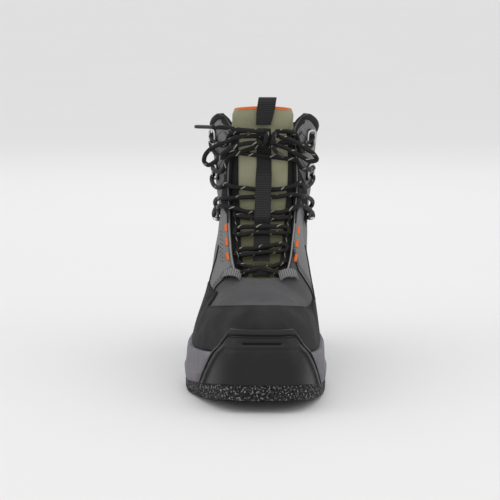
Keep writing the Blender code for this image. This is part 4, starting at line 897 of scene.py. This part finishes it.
def relief(points):
    """Soft troughs that wear puts in the upper, over the toe joints and at the ankle."""
    x, y, z = points[..., 0], points[..., 1], points[..., 2]
    flex = (np.exp(-(((y + 0.178 + 0.10 * abs(x)) / 0.0035) ** 2))
            + 0.7 * np.exp(-(((y + 0.164 + 0.16 * abs(x)) / 0.0030) ** 2)))
    flex = flex * ease((z - 0.050) / 0.02) * ease((0.105 - z) / 0.01)
    ankle = (np.exp(-(((z - 0.118 - 0.25 * (y + 0.06)) / 0.0045) ** 2))
             + 0.8 * np.exp(-(((z - 0.136 - 0.12 * (y + 0.05)) / 0.0040) ** 2))
             + 0.6 * np.exp(-(((z - 0.101 - 0.40 * (y + 0.07)) / 0.0040) ** 2)))
    ankle = ankle * ease((y + 0.115) / 0.03) * ease((0.045 - y) / 0.03)
    sway = 0.00035 * np.sin(150 * y + 60 * z) * ease((z - 0.06) / 0.03)
    return -0.0007 * flex - 0.0009 * ankle + sway * 0.6


def laid(u, v, distance):
    """Points off the worn skin, on which every panel of the upper lies."""
    base = skin(u, v)
    return base + skin_normal(u, v) * (np.asarray(distance) + relief(base))[..., None]


def nap(name, low, high):
    """A brushed nubuck-like cloth in a range of greys."""
    material, start = finish_of(name, Roughness=0.88)
    broad = start.noise(28, 4).span(0.28, 0.72)
    grain = start.noise(1800, 4).span(0.35, 0.65)
    shade = broad * 0.55 + grain * 0.45
    dress(material, shade.tint(low, high), broad * -0.08 + 0.88,
          start.noise(2200, 4) + start.noise(160, 3) * 0.5, 0.00022, 0.6)
    return material


vamp_paint = nap("dark grey nubuck", (0.070, 0.069, 0.072), (0.108, 0.106, 0.110))
quarter_paint = nap("mid grey nubuck", (0.150, 0.150, 0.153), (0.215, 0.215, 0.218))
lining_paint, start = finish_of("lining mesh", Roughness=0.95)
holes = start.cells(650)
dress(lining_paint, holes.tint((0.008, 0.008, 0.009), (0.032, 0.032, 0.034)), start.noise(60) * 0.1 + 0.88,
      holes, 0.0005, 0.7)


def wall(u, v):
    """Thickness of the upper, padded at the collar."""
    height = skin(u, v)[..., 2] / BACK_HEIGHT
    return mix(WALL, COLLAR_PAD, ease((height - 0.80) / 0.12) * ease((abs(wrap(u)) - 0.66) / 0.07))


around = np.linspace(-1, 1, 289)[:-1]
v = np.concatenate([np.linspace(0, 0.9, 44), np.linspace(0.9, 1, 12)[1:]])
u, v = np.meshgrid(around, v, indexing="ij")
outer = laid(u, v, 0)
inner = off_skin(u, v, -wall(u, v))
inner[:, 0, 2] = outer[:, 0, 2]
upper = shell("upper_shell", outer, inner, vamp_paint, closed=True, rim=abs(around) >= THROAT_U)
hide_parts("upper")
rim_paint, start = finish_of("bound edge", Roughness=0.85)
dress(rim_paint, start.noise(1500, 3).tint((0.006, 0.006, 0.006), (0.020, 0.020, 0.021)),
      start.noise(90) * 0.1 + 0.8, start.noise(1800, 3), 0.0002, 0.5)
upper.data.materials.append(lining_paint)
upper.data.materials.append(rim_paint)
quads = len(around) * (outer.shape[1] - 1)
for count, polygon in enumerate(upper.data.polygons):
    polygon.material_index = min(2, count // quads)


# Rand: one band of matt black rubbery sheet round the toe and sides, bonded over the vamp and quarters. Its
# top edge runs level over the toe and climbs along the sides.

RAND_ROWS = ((0.00, 0.00), (0.34, 0.00), (0.44, 0.14), (0.50, 0.17), (0.60, 0.14))
RAND_FRONT, SIGHT_TILT, RAND_END = 0.494, 0.174, 0.60
RAND_LAYER = (RAND_SEAT, RAND_SEAT + RAND)
CLIMB_ROWS = ((0.300, 0.30), (0.318, 0.44), (0.332, 0.52), (0.378, 0.62), (0.400, 0.60), (0.440, 0.48),
              (0.500, 0.28), (0.600, 0.05))


def rand_top(u):
    """v of the rand's top edge. On the lateral side it climbs beside the vamp."""
    height = (RAND_FRONT + smooth(RAND_ROWS, 1, abs(wrap(u)))) * TOE_HEIGHT
    edge = np.clip(share_at(u, height, SIGHT_TILT), 0, 1)
    return np.where(wrap(u) < 0, np.maximum(edge, smooth(CLIMB_ROWS, 1, abs(wrap(u)))), edge)


def spread(count):
    """Shares from 0 to 1 with close pairs at the ends, for a narrow rounded edge."""
    return np.concatenate([[0, 0.012], np.linspace(0.04, 0.96, count), [0.988, 1]])


def overlay(name, u, v, layer, material, slot, *nodes):
    """A thin panel over the grids u and v of the skin, its edges rounded, between two heights off it."""
    low, high = layer
    i, k = (np.arange(count) for count in v.shape)
    from_edge = np.minimum(np.minimum(i, i[::-1])[:, None], np.minimum(k, k[::-1])[None, :])
    soft = np.interp(from_edge, (0, 1), (0.55, 1.0))
    piece = shell(name, laid(u, v, low + (high - low) * soft), laid(u, v, low), material)
    if nodes:
        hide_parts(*nodes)
    return piece


rand_paint, start = finish_of("matt rubber sheet", Roughness=0.82)
haze = start.noise(45, 4).span(0.3, 0.75)
speckle = haze * 0.7 + start.noise(1600, 3) * 0.3
dress(rand_paint, speckle.tint((0.012, 0.012, 0.0125), (0.026, 0.026, 0.027)), haze * -0.1 + 0.84,
      start.noise(1900, 4) + start.noise(1000, 2) * 0.5, 0.00025, 0.7)

around = mix(-RAND_END, RAND_END, spread(230))
low_v = share_at(around, cup_top(sole_share(around)) + GAP)
v = mix(low_v[:, None], rand_top(around)[:, None], spread(26)[None, :])
overlay("rand_band", around[:, None], v, RAND_LAYER, rand_paint, "rand_rubber", "rand")


# Heel counter: the same rubbery sheet, moulded round the heel. It begins where the rand ends and is highest
# at the back.

COUNTER_ROWS = ((0.60, 0.30), (0.63, 0.30), (0.74, 0.31), (0.86, 0.40), (1.00, 0.50))


def counter_top(u):
    return share_at(u, smooth(COUNTER_ROWS, 1, abs(wrap(u))) * BACK_HEIGHT)


around = mix(0.6035, 1.3965, spread(120))
low_v = share_at(around, cup_top(sole_share(around)) + GAP)
v = mix(low_v[:, None], counter_top(around)[:, None], spread(30)[None, :])
overlay("heel_counter_cup", around[:, None], v, RAND_LAYER, rand_paint, "rand_rubber", "heel_counter")


# Quarters: mid-grey nubuck-like panels from the vamp seams to the back, stitched over the vamp. A folded
# black edge marks each seam, and a pale edge the throat.

SEAM_ROWS = {
    -1: ((0.00, 0.330), (0.47, 0.347), (0.62, 0.375), (0.77, 0.381), (0.89, 0.393), (0.93, 0.395),
         (1.00, 0.400)),
    1: ((0.00, 0.440), (0.35, 0.425), (0.50, 0.412), (0.65, 0.405), (0.80, 0.409), (0.885, 0.423),
        (1.00, 0.448)),
}
OUTER_SEAM_ROWS = {
    -1: ((0.399, 0.495), (0.407, 0.570), (0.424, 0.660), (0.440, 0.740), (0.462, 0.800)),
    1: ((0.430, 0.340), (0.440, 0.385), (0.460, 0.450), (0.472, 0.495), (0.480, 0.560), (0.492, 0.660)),
}
TOP_V, EDGE_CLEAR, QUARTER_LAYER = 0.994, 0.004, (0.00012, 0.0010)
COLLAR_ROWS = ((0.00, TOP_V), (0.64, TOP_V), (0.67, 0.978), (0.70, 0.962), (0.76, 0.945), (1.00, 0.925))
STITCHES = {
    # height off the skin, pitch, length, thickness
    "seam": (0.00105, 0.0026, 0.0021, 0.00045),
    "throat": (0.00105, 0.0024, 0.0019, 0.00045),
    "rand": (RAND_SEAT + RAND + 0.00005, 0.0030, 0.0023, 0.00042),
    "hole": (0.0009, 0.0044, 0.0009, 0.0009),
    "whip": (0.0016, 0.0022, 0.0036, 0.0006),
}


def edging(name, u, v, lift, radius, material):
    """A folded edge along a line on the skin."""
    piece = swept(name, laid(u, v, lift), radius, material, 8)


def thread(name, u, v, kind, material, tilt=0):
    """A row of stitches along a line on the skin, each one a short rounded length of thread."""
    lift, pitch, long, thick = STITCHES[kind]
    line, out = laid(u, v, lift), skin_normal(u, v)
    run = np.concatenate([[0], np.cumsum(np.linalg.norm(np.diff(line, axis=0), axis=1))])
    at = np.arange(pitch / 2, run[-1], pitch)
    place = np.stack([np.interp(at, run, line[:, axis]) for axis in range(3)], 1)
    up = unit(np.stack([np.interp(at, run, out[:, axis]) for axis in range(3)], 1))
    way = unit(np.gradient(place, axis=0))
    way = unit(way * math.cos(tilt) + np.cross(up, way) * math.sin(tilt))
    over = np.cross(up, way)
    turn = np.arange(6) * math.pi / 3
    rings = [(-0.5, 0.35, -0.3), (-0.36, 1, 0), (0, 1, 0.15), (0.36, 1, 0), (0.5, 0.35, -0.3)]
    verts, faces = [], []
    for share, wide, rise in rings:
        centre = place + way * share * long + up * rise * thick
        verts.append(centre[:, None] + wide * thick / 2 * (
            over[:, None] * np.cos(turn)[None, :, None] + up[:, None] * np.sin(turn)[None, :, None]))
    verts = np.stack(verts, 1)
    for base in range(0, len(place) * 30, 30):
        for low in range(base, base + 24, 6):
            faces += [(low + k, low + (k + 1) % 6, low + 6 + (k + 1) % 6, low + 6 + k) for k in range(6)]
        faces += [tuple(range(base, base + 6))[::-1], tuple(range(base + 24, base + 30))]
    piece = build(name, verts, faces, material, merge=1e-8)


def yarn_paint(name, low, high):
    material, start = finish_of(name, Roughness=0.75)
    ply = start.noise(2600, 2)
    dress(material, ply.tint(low, high), ply * 0.1 + 0.7, ply, 0.0002, 0.6)
    return material


black_thread = yarn_paint("black thread", (0.008, 0.008, 0.009), (0.030, 0.030, 0.031))
grey_thread = yarn_paint("pale grey thread", (0.20, 0.20, 0.20), (0.34, 0.34, 0.33))
edge_paint = yarn_paint("folded black edge", (0.007, 0.007, 0.008), (0.020, 0.020, 0.021))

for side, word in SIDES:
    t = spread(40)
    s = spread(110)
    seam_v = np.linspace(0.36, TOP_V, 300)
    clear = seam_v > rand_top(side * smooth(SEAM_ROWS[side], 1, seam_v)) + EDGE_CLEAR
    lowest = seam_v[clear][0]
    start_u = smooth(SEAM_ROWS[side], 1, mix(lowest, TOP_V, t))
    u = side * mix(start_u[None, :], 0.9995, s[:, None])
    base, head = u[:, 0], u[:, -1]
    bottom = np.where(abs(base) <= RAND_END, rand_top(base), counter_top(base)) + EDGE_CLEAR
    bottom[0] = lowest
    v = mix(bottom[:, None], smooth(COLLAR_ROWS, 1, abs(head))[:, None], t[None, :])
    overlay(f"quarter_{word}", u, v, QUARTER_LAYER, quarter_paint, "upper_nubuck")

    seam_v = np.linspace(lowest - 0.01, 0.992, 60)
    seam_u = smooth(SEAM_ROWS[side], 1, seam_v)
    edging(f"seam_edge_{word}", side * (seam_u - 0.001), seam_v, 0.0005, 0.00062, edge_paint)
    for count, step in enumerate((0.0055, 0.0105), 1):
        thread(f"seam_thread_{word}_{count}", side * (seam_u + step), seam_v, "seam", black_thread)
    row = np.array(OUTER_SEAM_ROWS[side])
    line_v = np.linspace(row[0, 1], row[-1, 1], 40)
    line_u = np.interp(line_v, row[:, 1], row[:, 0])
    edging(f"lower_edge_{word}", side * line_u, line_v, 0.0014, 0.0006, edge_paint)
    edging(f"throat_edge_{word}", side * np.linspace(0.40, 0.50, 60), 0.988, 0.0009, 0.0006, grey_thread)
    thread(f"throat_thread_{word}", side * np.linspace(0.405, 0.66, 120), 0.966, "throat", black_thread)
    rand_u = np.linspace(0.04, RAND_END, 160)
    thread(f"rand_thread_{word}", side * rand_u, rand_top(side * rand_u) - 0.022, "rand", black_thread)


# Perforations: two short rows of punched breathing holes on the lateral quarter, beside the sewn cords. Each
# hole is a small raised near-black dot: the dark lining behind it, with painted shade in the hole.

# partly painted shade: the dot's near-black stands for the dark lining and the shade inside the hole
hole_lining_and_shade_paint, start = finish_of("hole dot, dark lining and painted shade", Roughness=1.0)
dress(hole_lining_and_shade_paint, start.noise(300).tint((0.004, 0.004, 0.004), (0.012, 0.012, 0.012)))
for row, (hole_v, first) in enumerate(((0.868, 0.418), (0.838, 0.424)), 1):
    thread(f"perforation_row_{row}", -np.linspace(first, first + 0.075, 40), hole_v, "hole", hole_lining_and_shade_paint)


# Stays: patches that run from the throat's edge back under each hook and roller, over the quarters. The
# lowest is black mesh with a plum cast; the others are grey textured cloth. A black band edges the shaft's
# throat, with whip stitches over it.

STAY_LAYER, BAND_LAYER, STRIP_LAYER = (0.0011, 0.0017), (0.0015, 0.0022), (0.0012, 0.0021)
STAY_BEHIND, STAY_BELOW, STAY_ABOVE = 0.022, 0.062, 0.055
WHIP_ROWS = ((0.588, 0.618, 0.925), (0.636, 0.661, 0.930))


def weave(name, low, high, size=900, roughness=0.85, depth=0.0004):
    """A close woven cloth or strap, its threads crossing at right angles along the piece."""
    material, start = finish_of(name, Roughness=roughness)
    a, b = (start.uv(0) * size).wave(), (start.uv(1) * size).wave()
    knots = a * b + start.noise(900, 3) * 0.25
    dress(material, knots.tint(low, high), knots * -0.08 + roughness, knots, depth, 0.8)
    return material


mesh_paint = weave("plum-black mesh", (0.006, 0.005, 0.007), (0.048, 0.042, 0.050), 520)
strap_paint = weave("black strap", (0.007, 0.007, 0.008), (0.032, 0.032, 0.033), 700)
collar_paint = weave("collar cloth", (0.005, 0.005, 0.006), (0.022, 0.022, 0.023), 620)
patch_paint = weave("grey textured cloth", (0.11, 0.11, 0.11), (0.30, 0.30, 0.30), 420, 0.85, 0.0005)

for side, word in SIDES:
    for name, lateral_u, medial_u, height, kind, first, last in HARDWARE_ROWS:
        hook_u = lateral_u if side < 0 else medial_u
        hook_v = float(share_at(np.array([side * hook_u]), height)[0])
        s, t = np.meshgrid(spread(12), spread(26), indexing="ij")
        u = side * mix(mix(first, last, s), hook_u + STAY_BEHIND, t)
        v = mix(0.992, hook_v + mix(-STAY_BELOW, STAY_ABOVE, s), t ** 0.9)
        v = np.minimum(v, smooth(COLLAR_ROWS, 1, abs(u)) - 0.006)
        paint = mesh_paint if name == "ankle" else patch_paint
        overlay(f"{name}_stay_{word}", u, v, STAY_LAYER, paint, "eyestay")
    s, t = np.meshgrid(spread(60), spread(6), indexing="ij")
    overlay(f"shaft_edge_{word}", side * mix(0.492, 0.668, s), mix(0.968, TOP_V, t), BAND_LAYER, strap_paint,
            "eyestay")
    for count, (from_u, to_u, at_v) in enumerate(WHIP_ROWS, 1):
        whip_u = side * np.linspace(from_u, to_u, 30)
        thread(f"whip_thread_{word}_{count}", whip_u, at_v, "whip", black_thread, 0.9)


# Collar: a padded black rim round the shaft's top, with a narrow strip down the back over the quarters' seam.

around = mix(0.664, 1.336, spread(140))
u = around[:, None]
v = mix(smooth(COLLAR_ROWS, 1, abs(wrap(around)))[:, None] + EDGE_CLEAR, 0.996, spread(12)[None, :])
swell = 0.0012 * np.sin(math.pi * spread(12))
collar = shell("collar_rim", laid(u, v, 0.0012 + swell), laid(u, v, 0.0002), collar_paint)

around = mix(0.972, 1.028, spread(10))
v = mix(counter_top(around)[:, None] + 2 * EDGE_CLEAR, 0.985, spread(40)[None, :])
overlay("back_strip", around[:, None], v, STRIP_LAYER, strap_paint, "upper_nubuck")


# Tongue: padded khaki synthetic leather that fills the throat and stands above the collar. It is painted
# darker towards the toe as painted shade under the lace, blotched darker at random; an arched seam crosses
# it.

TONGUE_SEAT, FACING_SEAT, TUCK_SEAT, FACING, TONGUE = 0.0007, 0.0009, 0.0012, 0.0014, 0.0050
TONGUE_DEPTH = WALL + FACING_SEAT + FACING + TONGUE_SEAT
TONGUE_RISE, TONGUE_CORNER, TONGUE_TUCK = 0.0178, 0.0048, 0.012
ARCH_LEVEL, ARCH_DROP, ARCH_HALF = 0.580, 0.022, 0.0045
TONGUE_TOP_ROWS = ((0.00, 1.00), (0.35, 1.10), (0.75, 1.26), (1.00, 1.19))
WEBBING_WIDTH, WEBBING, WEB_ARCH = 0.0132, 0.0012, 0.0056


def throat_grid(levels, places, depth):
    """Points across the throat at each level, below its surface, one line up it for each (side, share)."""
    levels = np.asarray(levels, float)
    u = throat_u(levels)
    lines = []
    for count, (side, share) in enumerate(places):
        down = np.broadcast_to(depth[count] if np.ndim(depth) == 2 else depth, levels.shape)
        share = np.broadcast_to(share, levels.shape)
        if side:
            lines.append(off_skin(side * u, share, -down - TUCK_SEAT))
        else:
            lines.append(bridge(levels, share) - down[:, None] * bridge_normal(levels, share))
    return np.array(lines)


across = np.linspace(0.08, 0.92, 43)
tongue_places = [(-1, 0.90), (-1, 0.96), *((0, a) for a in across), (1, 0.96), (1, 0.90)]
levels = np.linspace(0, 1, 90)
centred = np.concatenate([[-0.5, -0.46], across - 0.5, [0.46, 0.5]])[:, None]
arch = ARCH_LEVEL - ARCH_DROP * (centred / 0.4) ** 2
seam = np.exp(-(((levels[None, :] - arch) / ARCH_HALF) ** 2))
side_swell = ease((abs(centred) - 0.22) / 0.10) * ease((0.43 - abs(centred)) / 0.06)
puff = 0.0007 * side_swell * (1 - np.exp(-(((levels[None, :] - arch) / 0.05) ** 2)))
tongue_relief = 0.0009 * seam * (abs(centred) < 0.45) - puff


def tongue_sheet(depth):
    """One face of the tongue, from its tucked foot up to its free top."""
    lines = throat_grid(levels, tongue_places, depth)
    rows = list(lines.transpose(1, 0, 2))
    rows.insert(0, rows[0] * (0.72, 1, 1) + (0, -TONGUE_TUCK, -0.40 * TONGUE_TUCK))
    top = rows[-1]
    middle_x = top[:, 0].mean()
    drop = np.zeros(len(top))
    drop[:3], drop[-3:] = (1, 0.5, 0.3), (0.3, 0.5, 1)
    for share in np.linspace(0.08, 1, 14):
        row = top + np.array([0, -0.10, 1]) * TONGUE_RISE * share
        row[:, 0] = middle_x + (row[:, 0] - middle_x) * smooth(TONGUE_TOP_ROWS, 1, share)
        row[:, 2] -= TONGUE_CORNER * drop * ease((share - 0.75) / 0.25)
        rows.append(row)
    return np.array(rows).transpose(1, 0, 2)


tongue_paint, start = finish_of("khaki synthetic leather", Roughness=0.7)
height_z = start.node("ShaderNodeSeparateXYZ", {0: start.node("ShaderNodeTexCoord", out=3)}, out=2)
# painted shade: the tongue's colour grows darker lower down, towards the toe under the lace
painted_height_shade = height_z.span(0.100, 0.175)
pores = start.cells(900) * 0.6 + start.noise(700, 4) * 0.5
body_colour = painted_height_shade.tint((0.100, 0.098, 0.052), (0.300, 0.298, 0.195))
soiled = start.noise(45, 4).span(0.3, 0.8) * 0.22
dress(tongue_paint, soiled.tint(body_colour, (0.09, 0.09, 0.05)), pores * -0.1 + 0.72, pores, 0.0003, 0.5)
tongue = shell("tongue_padding", tongue_sheet(TONGUE_DEPTH + tongue_relief),
               tongue_sheet(TONGUE_DEPTH + TONGUE), tongue_paint)
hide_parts("tongue")


# Binding: an orange tape folded over the tongue's top edge. It stands a little proud of the leather in front
# and behind, and is thickest over the fold.

orange_paint = weave("orange tape", (0.62, 0.110, 0.020), (0.95, 0.24, 0.055), 900, 0.7)
front, back = tongue_sheet(TONGUE_DEPTH)[1:-1, -1], tongue_sheet(TONGUE_DEPTH + TONGUE)[1:-1, -1]
fold = (
    # share of the way over the edge, how far proud and how far up
    (0, -0.0005, -0.0010), (0, -0.0005, 0.0006), (0.12, 0, 0.0015), (0.5, 0, 0.0019), (0.88, 0, 0.0015),
    (1, 0.0005, 0.0006), (1, 0.0005, -0.0010),
)
outer = np.stack([mix(front, back, share) + (0, proud, lift) for share, proud, lift in fold], 1)
inner = np.stack([mix(front, back, np.clip(share, 0.02, 0.98)) + (0, 0, min(lift, 0.0003))
                  for share, _, lift in fold], 1)
binding = shell("binding_tape", outer, inner, orange_paint)
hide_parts("tongue_binding")


# Webbing: a ribbed black strap down the middle of the tongue. It lies flat at its ends and bows out in
# between, where the lace runs behind it.

ribbed_paint, start = finish_of("ribbed webbing", Roughness=0.85)
ribs = (start.uv(1) * 620).wave()
cross = (start.uv(0) * 900).wave()
rough = ribs * 0.8 + cross * 0.2 + start.noise(1200, 2) * 0.2
dress(ribbed_paint, rough.tint((0.006, 0.006, 0.006), (0.034, 0.034, 0.035)), rough * -0.1 + 0.85, rough,
      0.0005, 0.9)

BOW_FROM, BOW_TO, WEB_LIFT = 0.43, 0.82, 0.0009
levels_web = np.linspace(0.012, 1, 116)
reach = np.linalg.norm(bridge(levels_web, 0.52) - bridge(levels_web, 0.48), axis=-1) / 0.04
lines = np.array((-1, -0.97, -0.85, -0.5, -0.2, 0, 0.2, 0.5, 0.85, 0.97, 1))
places = [(0, 0.5 + share * WEBBING_WIDTH / 2 / reach) for share in lines]
bow = WEB_ARCH * ease((levels_web - BOW_FROM) / 0.045) * ease((BOW_TO - levels_web) / 0.10)
bow = bow + WEB_LIFT * ease((0.12 - levels_web) / 0.04)
depth = TONGUE_DEPTH - GAP - bow
thick = WEBBING * np.interp(abs(lines), (0, 0.9, 1), (1, 1, 0.7))
over = throat_grid(levels_web, places, depth[None, :] - thick[:, None])
webbing = shell("webbing_strap", over, throat_grid(levels_web, places, depth), ribbed_paint)
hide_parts("tongue_webbing")


# Pull loop: black webbing folded over the tongue's top and sewn to its front and back. The loop stands up
# round and is narrower at its front foot.

LOOP_ROWS = (
    (0.80, -1.75, 0.82), (0.76, -0.80, 0.90), (0.72, 0.10, 0.98), (0.66, 0.62, 1.00), (0.34, 0.94, 1.00),
    (-0.12, 1.04, 1.00), (-0.50, 0.88, 1.00), (-0.66, 0.40, 1.00), (-0.74, -0.20, 1.00), (-0.74, -1.10, 1.00),
)
LOOP_HEIGHT, LOOP_LEAN, LOOP_ASIDE, LOOP_WIDTH = 0.0082, 0.0012, 0.0024, 0.0150


def strap(name, path, across, width, thickness, material, slot, *nodes):
    """A flat strap with rounded edges along a path, its thickness on the path's left seen down across."""
    way = unit(np.gradient(path, axis=0))
    up = unit(np.cross(np.broadcast_to(across, way.shape), way))
    width = np.broadcast_to(width, len(path))
    section = ((-1, 0.25), (-0.94, 0), (-0.5, 0), (0, 0), (0.5, 0), (0.94, 0), (1, 0.25), (1, 0.75),
               (0.94, 1), (0.5, 1), (0, 1), (-0.5, 1), (-0.94, 1), (-1, 0.75), (-1, 0.25))
    grid = np.stack([path + across * (width / 2 * side)[:, None] + up * thickness * rise
                     for side, rise in section], 1)
    n, m = grid.shape[:2]
    faces = grid_faces(n, m).tolist() + [list(range(m - 1)), [(n - 1) * m + k for k in range(m - 1)][::-1]]
    uv = np.stack([np.broadcast_to([side * 0.008 for side, _ in section], (n, m)), run_lengths(grid, 0)], -1)
    piece = build(name, grid, faces, material, uv)
    if nodes:
        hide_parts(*nodes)
    return piece


seat_row = tongue_sheet(TONGUE_DEPTH + TONGUE / 2)[:, -1].mean(axis=0)
seat_row[2] = tongue_sheet(TONGUE_DEPTH)[20, -1, 2]
seat_row[0] += LOOP_ASIDE
loop_path = eased([seat_row + np.array([LOOP_LEAN * rise, -LOOP_HEIGHT * ahead, LOOP_HEIGHT * rise])
                   for ahead, rise, _ in LOOP_ROWS], 0.0009)
widths = np.interp(np.linspace(0, 9, len(loop_path)), range(10), [row[2] for row in LOOP_ROWS])
strap("pull_loop_strap", loop_path, np.array([-1.0, 0, 0]), LOOP_WIDTH * widths, WEBBING, ribbed_paint,
      "webbing", "pull_loop")


# Facings: black strips under the throat's edges that carry the lace, each with a thin cord down its edge
# round which the lowest rows of lace turn.

FACING_WIDTH = 0.0085
facing_paint = weave("facing cloth", (0.006, 0.006, 0.007), (0.026, 0.026, 0.027), 800)
levels_face = mix(0.02, 1, spread(70))
reach = FACING_WIDTH / np.linalg.norm(bridge(levels_face, 1.0) - bridge(levels_face, 0.0), axis=-1)
for side, word in SIDES:
    places = [(side, 0.93), (side, 0.96)]
    for share in (0 * reach, reach * 0.3, reach * 0.65, reach * 0.97, reach):
        places.append((0, share if side < 0 else 1 - share))
    under = throat_grid(levels_face, places, WALL + FACING_SEAT + FACING)
    above = throat_grid(levels_face, places, WALL + FACING_SEAT)
    facing = shell(f"facing_{word}", above, under, facing_paint)
    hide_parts(f"eyestay_{word}")
    edge = 0.105 if side < 0 else 0.895
    cord_level = np.linspace(0.17, 0.56, 90)
    lift = -0.0012 + 0.0028 * np.exp(-(((cord_level[:, None] - (0.24, 0.386, 0.515)) / 0.030) ** 2)).sum(1)
    cord = swept(f"facing_cord_{word}", throat_point(cord_level, edge, lift), 0.0008, lace_paint, 10)


# Hooks and rollers: polished steel wire rings on black webbing tabs, and turned rollers at the ankle that
# the lace runs round.

steel_paint, start = finish_of("polished steel", Metallic=1.0, Roughness=0.28)
brushed = start.noise(500, 3)
dress(steel_paint, brushed.tint((0.50, 0.50, 0.51), (0.66, 0.66, 0.67)), brushed * 0.2 + 0.2, brushed,
      0.00005, 0.4)

TAB_SEAT, TAB, HOOK_WIRE, HOOK_STAND, HOOK_TILT = 0.0006, 0.0014, 0.0009, 0.0012, 0.0008
HOOK_HALF_WIDTH, HOOK_HALF_HEIGHT = 0.00525, 0.00625
TAB_WIDTH, TAB_HEIGHT, TAB_LOW, TAB_THICK = 0.0062, 0.0152, 0.0014, 0.0012
ROLLER_STAND, ROLLER_LENGTH, ROLLER_RADIUS = 0.0038, 0.0075, 0.003


def slab(name, place, width, height, low, thickness, material, slot, *nodes):
    """A flat pad with rounded corners and edges, standing on the skin."""
    point, out, up, fore = place
    turn = np.linspace(0, 2 * math.pi, 33)[:-1]
    x, y = (np.sign(f) * abs(f) ** 0.45 for f in (np.cos(turn), np.sin(turn)))
    soft = min(width, thickness) * 0.3
    steps = ((soft, 0), (0, 0.25), (0, 0.70), (soft * 0.4, 0.92), (soft, 1), (width * 0.3, 1.04))
    grid = np.array([point + np.outer(x * (width / 2 - back), fore) + np.outer(y * (height / 2 - back), up)
                     + out * (low + thickness * level) for back, level in steps])
    n, m = grid.shape[:2]
    grid = np.concatenate([grid, grid[:, :1]], 1)
    faces = grid_faces(n, m + 1).tolist() + [list(range(m))[::-1], [(n - 1) * (m + 1) + k for k in range(m)]]
    uv = np.stack([(grid - point) @ fore, (grid - point) @ up], -1)
    piece = build(name, grid, faces, material, uv)
    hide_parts(*nodes)


for side, word in SIDES:
    for name, _, _, _, kind, _, _ in HARDWARE_ROWS:
        place = hardware_places[name, side]
        point, out, up, fore = place
        slab(f"{name}_webbing_{word}", place, TAB_WIDTH, TAB_HEIGHT, TAB_LOW, TAB_THICK, strap_paint, "tab",
             f"{name}_tab_{word}")
        if kind == "hook":
            turn = np.linspace(0, 2 * math.pi, 65)[:-1]
            x, y = (np.sign(f) * abs(f) ** 0.55 for f in (np.cos(turn), np.sin(turn)))
            height = TAB_SEAT + TAB + GAP + HOOK_WIRE + HOOK_STAND + HOOK_TILT * np.cos(turn)
            ring = (point + np.outer(x * HOOK_HALF_WIDTH, fore) + np.outer(y * HOOK_HALF_HEIGHT, up)
                    + np.outer(height, out))
            hook = swept(f"{name}_wire_{word}", ring, HOOK_WIRE, steel_paint, 12, closed=True)
        else:
            turn = np.linspace(0, 2 * math.pi, 33)
            shape = ((-0.5, 0), (-0.5, 0.62), (-0.48, 0.78), (-0.43, 1.0), (-0.18, 1.0), (-0.15, 0.93),
                     (-0.10, 0.78), (0.10, 0.78), (0.15, 0.93), (0.18, 1.0), (0.43, 1.0), (0.48, 0.78),
                     (0.5, 0.62), (0.5, 0))
            centre = point + out * (TAB_SEAT + TAB + GAP + ROLLER_STAND)
            grid = np.stack([centre + up * y * ROLLER_LENGTH + ROLLER_RADIUS * share * (
                np.outer(np.cos(turn), fore) + np.outer(np.sin(turn), out)) for y, share in shape])
            hook = build(f"{name}_turned_{word}", grid, grid_faces(*grid.shape[:2]).tolist(), steel_paint)
        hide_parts(f"{name}_{kind}_{word}")


# Sewn cords: three short bright orange lengths of cord on each side, sewn down along the throat's edge beside
# the lowest rows of lace.

CORD_LEVELS, CORD_BACK = (0.195, 0.305, 0.415), {-1: 0.058, 1: 0.100}
CORD_WIDTH, CORD_LENGTH, CORD_LOW, CORD_THICK = 0.0023, 0.0080, 0.0009, 0.0012
for side, word in SIDES:
    for count, level in enumerate(CORD_LEVELS, 1):
        stitch_u = throat_u(level)
        height = skin(np.array([side * (stitch_u + 0.004)]), np.array([1 - CORD_BACK[side]]))[0, 2]
        point, out, _, _ = seat(side, stitch_u + 0.004, height)
        below, beyond = throat_edge(stitch_u + np.array([-0.03, 0.03]), side)[0]
        edge = unit(beyond - below)
        up = unit(edge - out * (edge @ out))
        slab(f"orange_cord_{word}_{count}", (point, out, up, np.cross(up, out) * side), CORD_WIDTH,
             CORD_LENGTH, CORD_LOW, CORD_THICK, orange_paint, "orange_cord", f"orange_stitch_{word}_{count}")


# Lace loops: folded grey webbing at the throat's lower corners, one on each side. The lowest lace passes
# through them.

LOOP_U, LOOP_V, LACE_LOOP_WIDTH = 0.385, 0.93, 0.0086
loop_paint = weave("grey webbing", (0.05, 0.05, 0.05), (0.42, 0.42, 0.42), 520, 0.85, 0.0006)
for side, word in SIDES:
    height = skin(np.array([side * LOOP_U]), np.array([LOOP_V]))[0, 2]
    point, out, up, fore = seat(side, LOOP_U, height)
    rows = ((-0.0066, 0.0008), (-0.0058, 0.0024), (-0.0046, 0.0037), (0, 0.0048), (0.0046, 0.0037),
            (0.0058, 0.0024), (0.0066, 0.0008))
    path = eased([point + fore * x + out * z for x, z in rows], 0.0008)
    strap(f"grey_loop_{word}", path, up * (-side), LACE_LOOP_WIDTH, WEBBING, loop_paint, "lace_loop",
          f"lace_loop_{word}")


[[list(map(float, corner)) for corner in box] for box in (cad_box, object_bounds())]
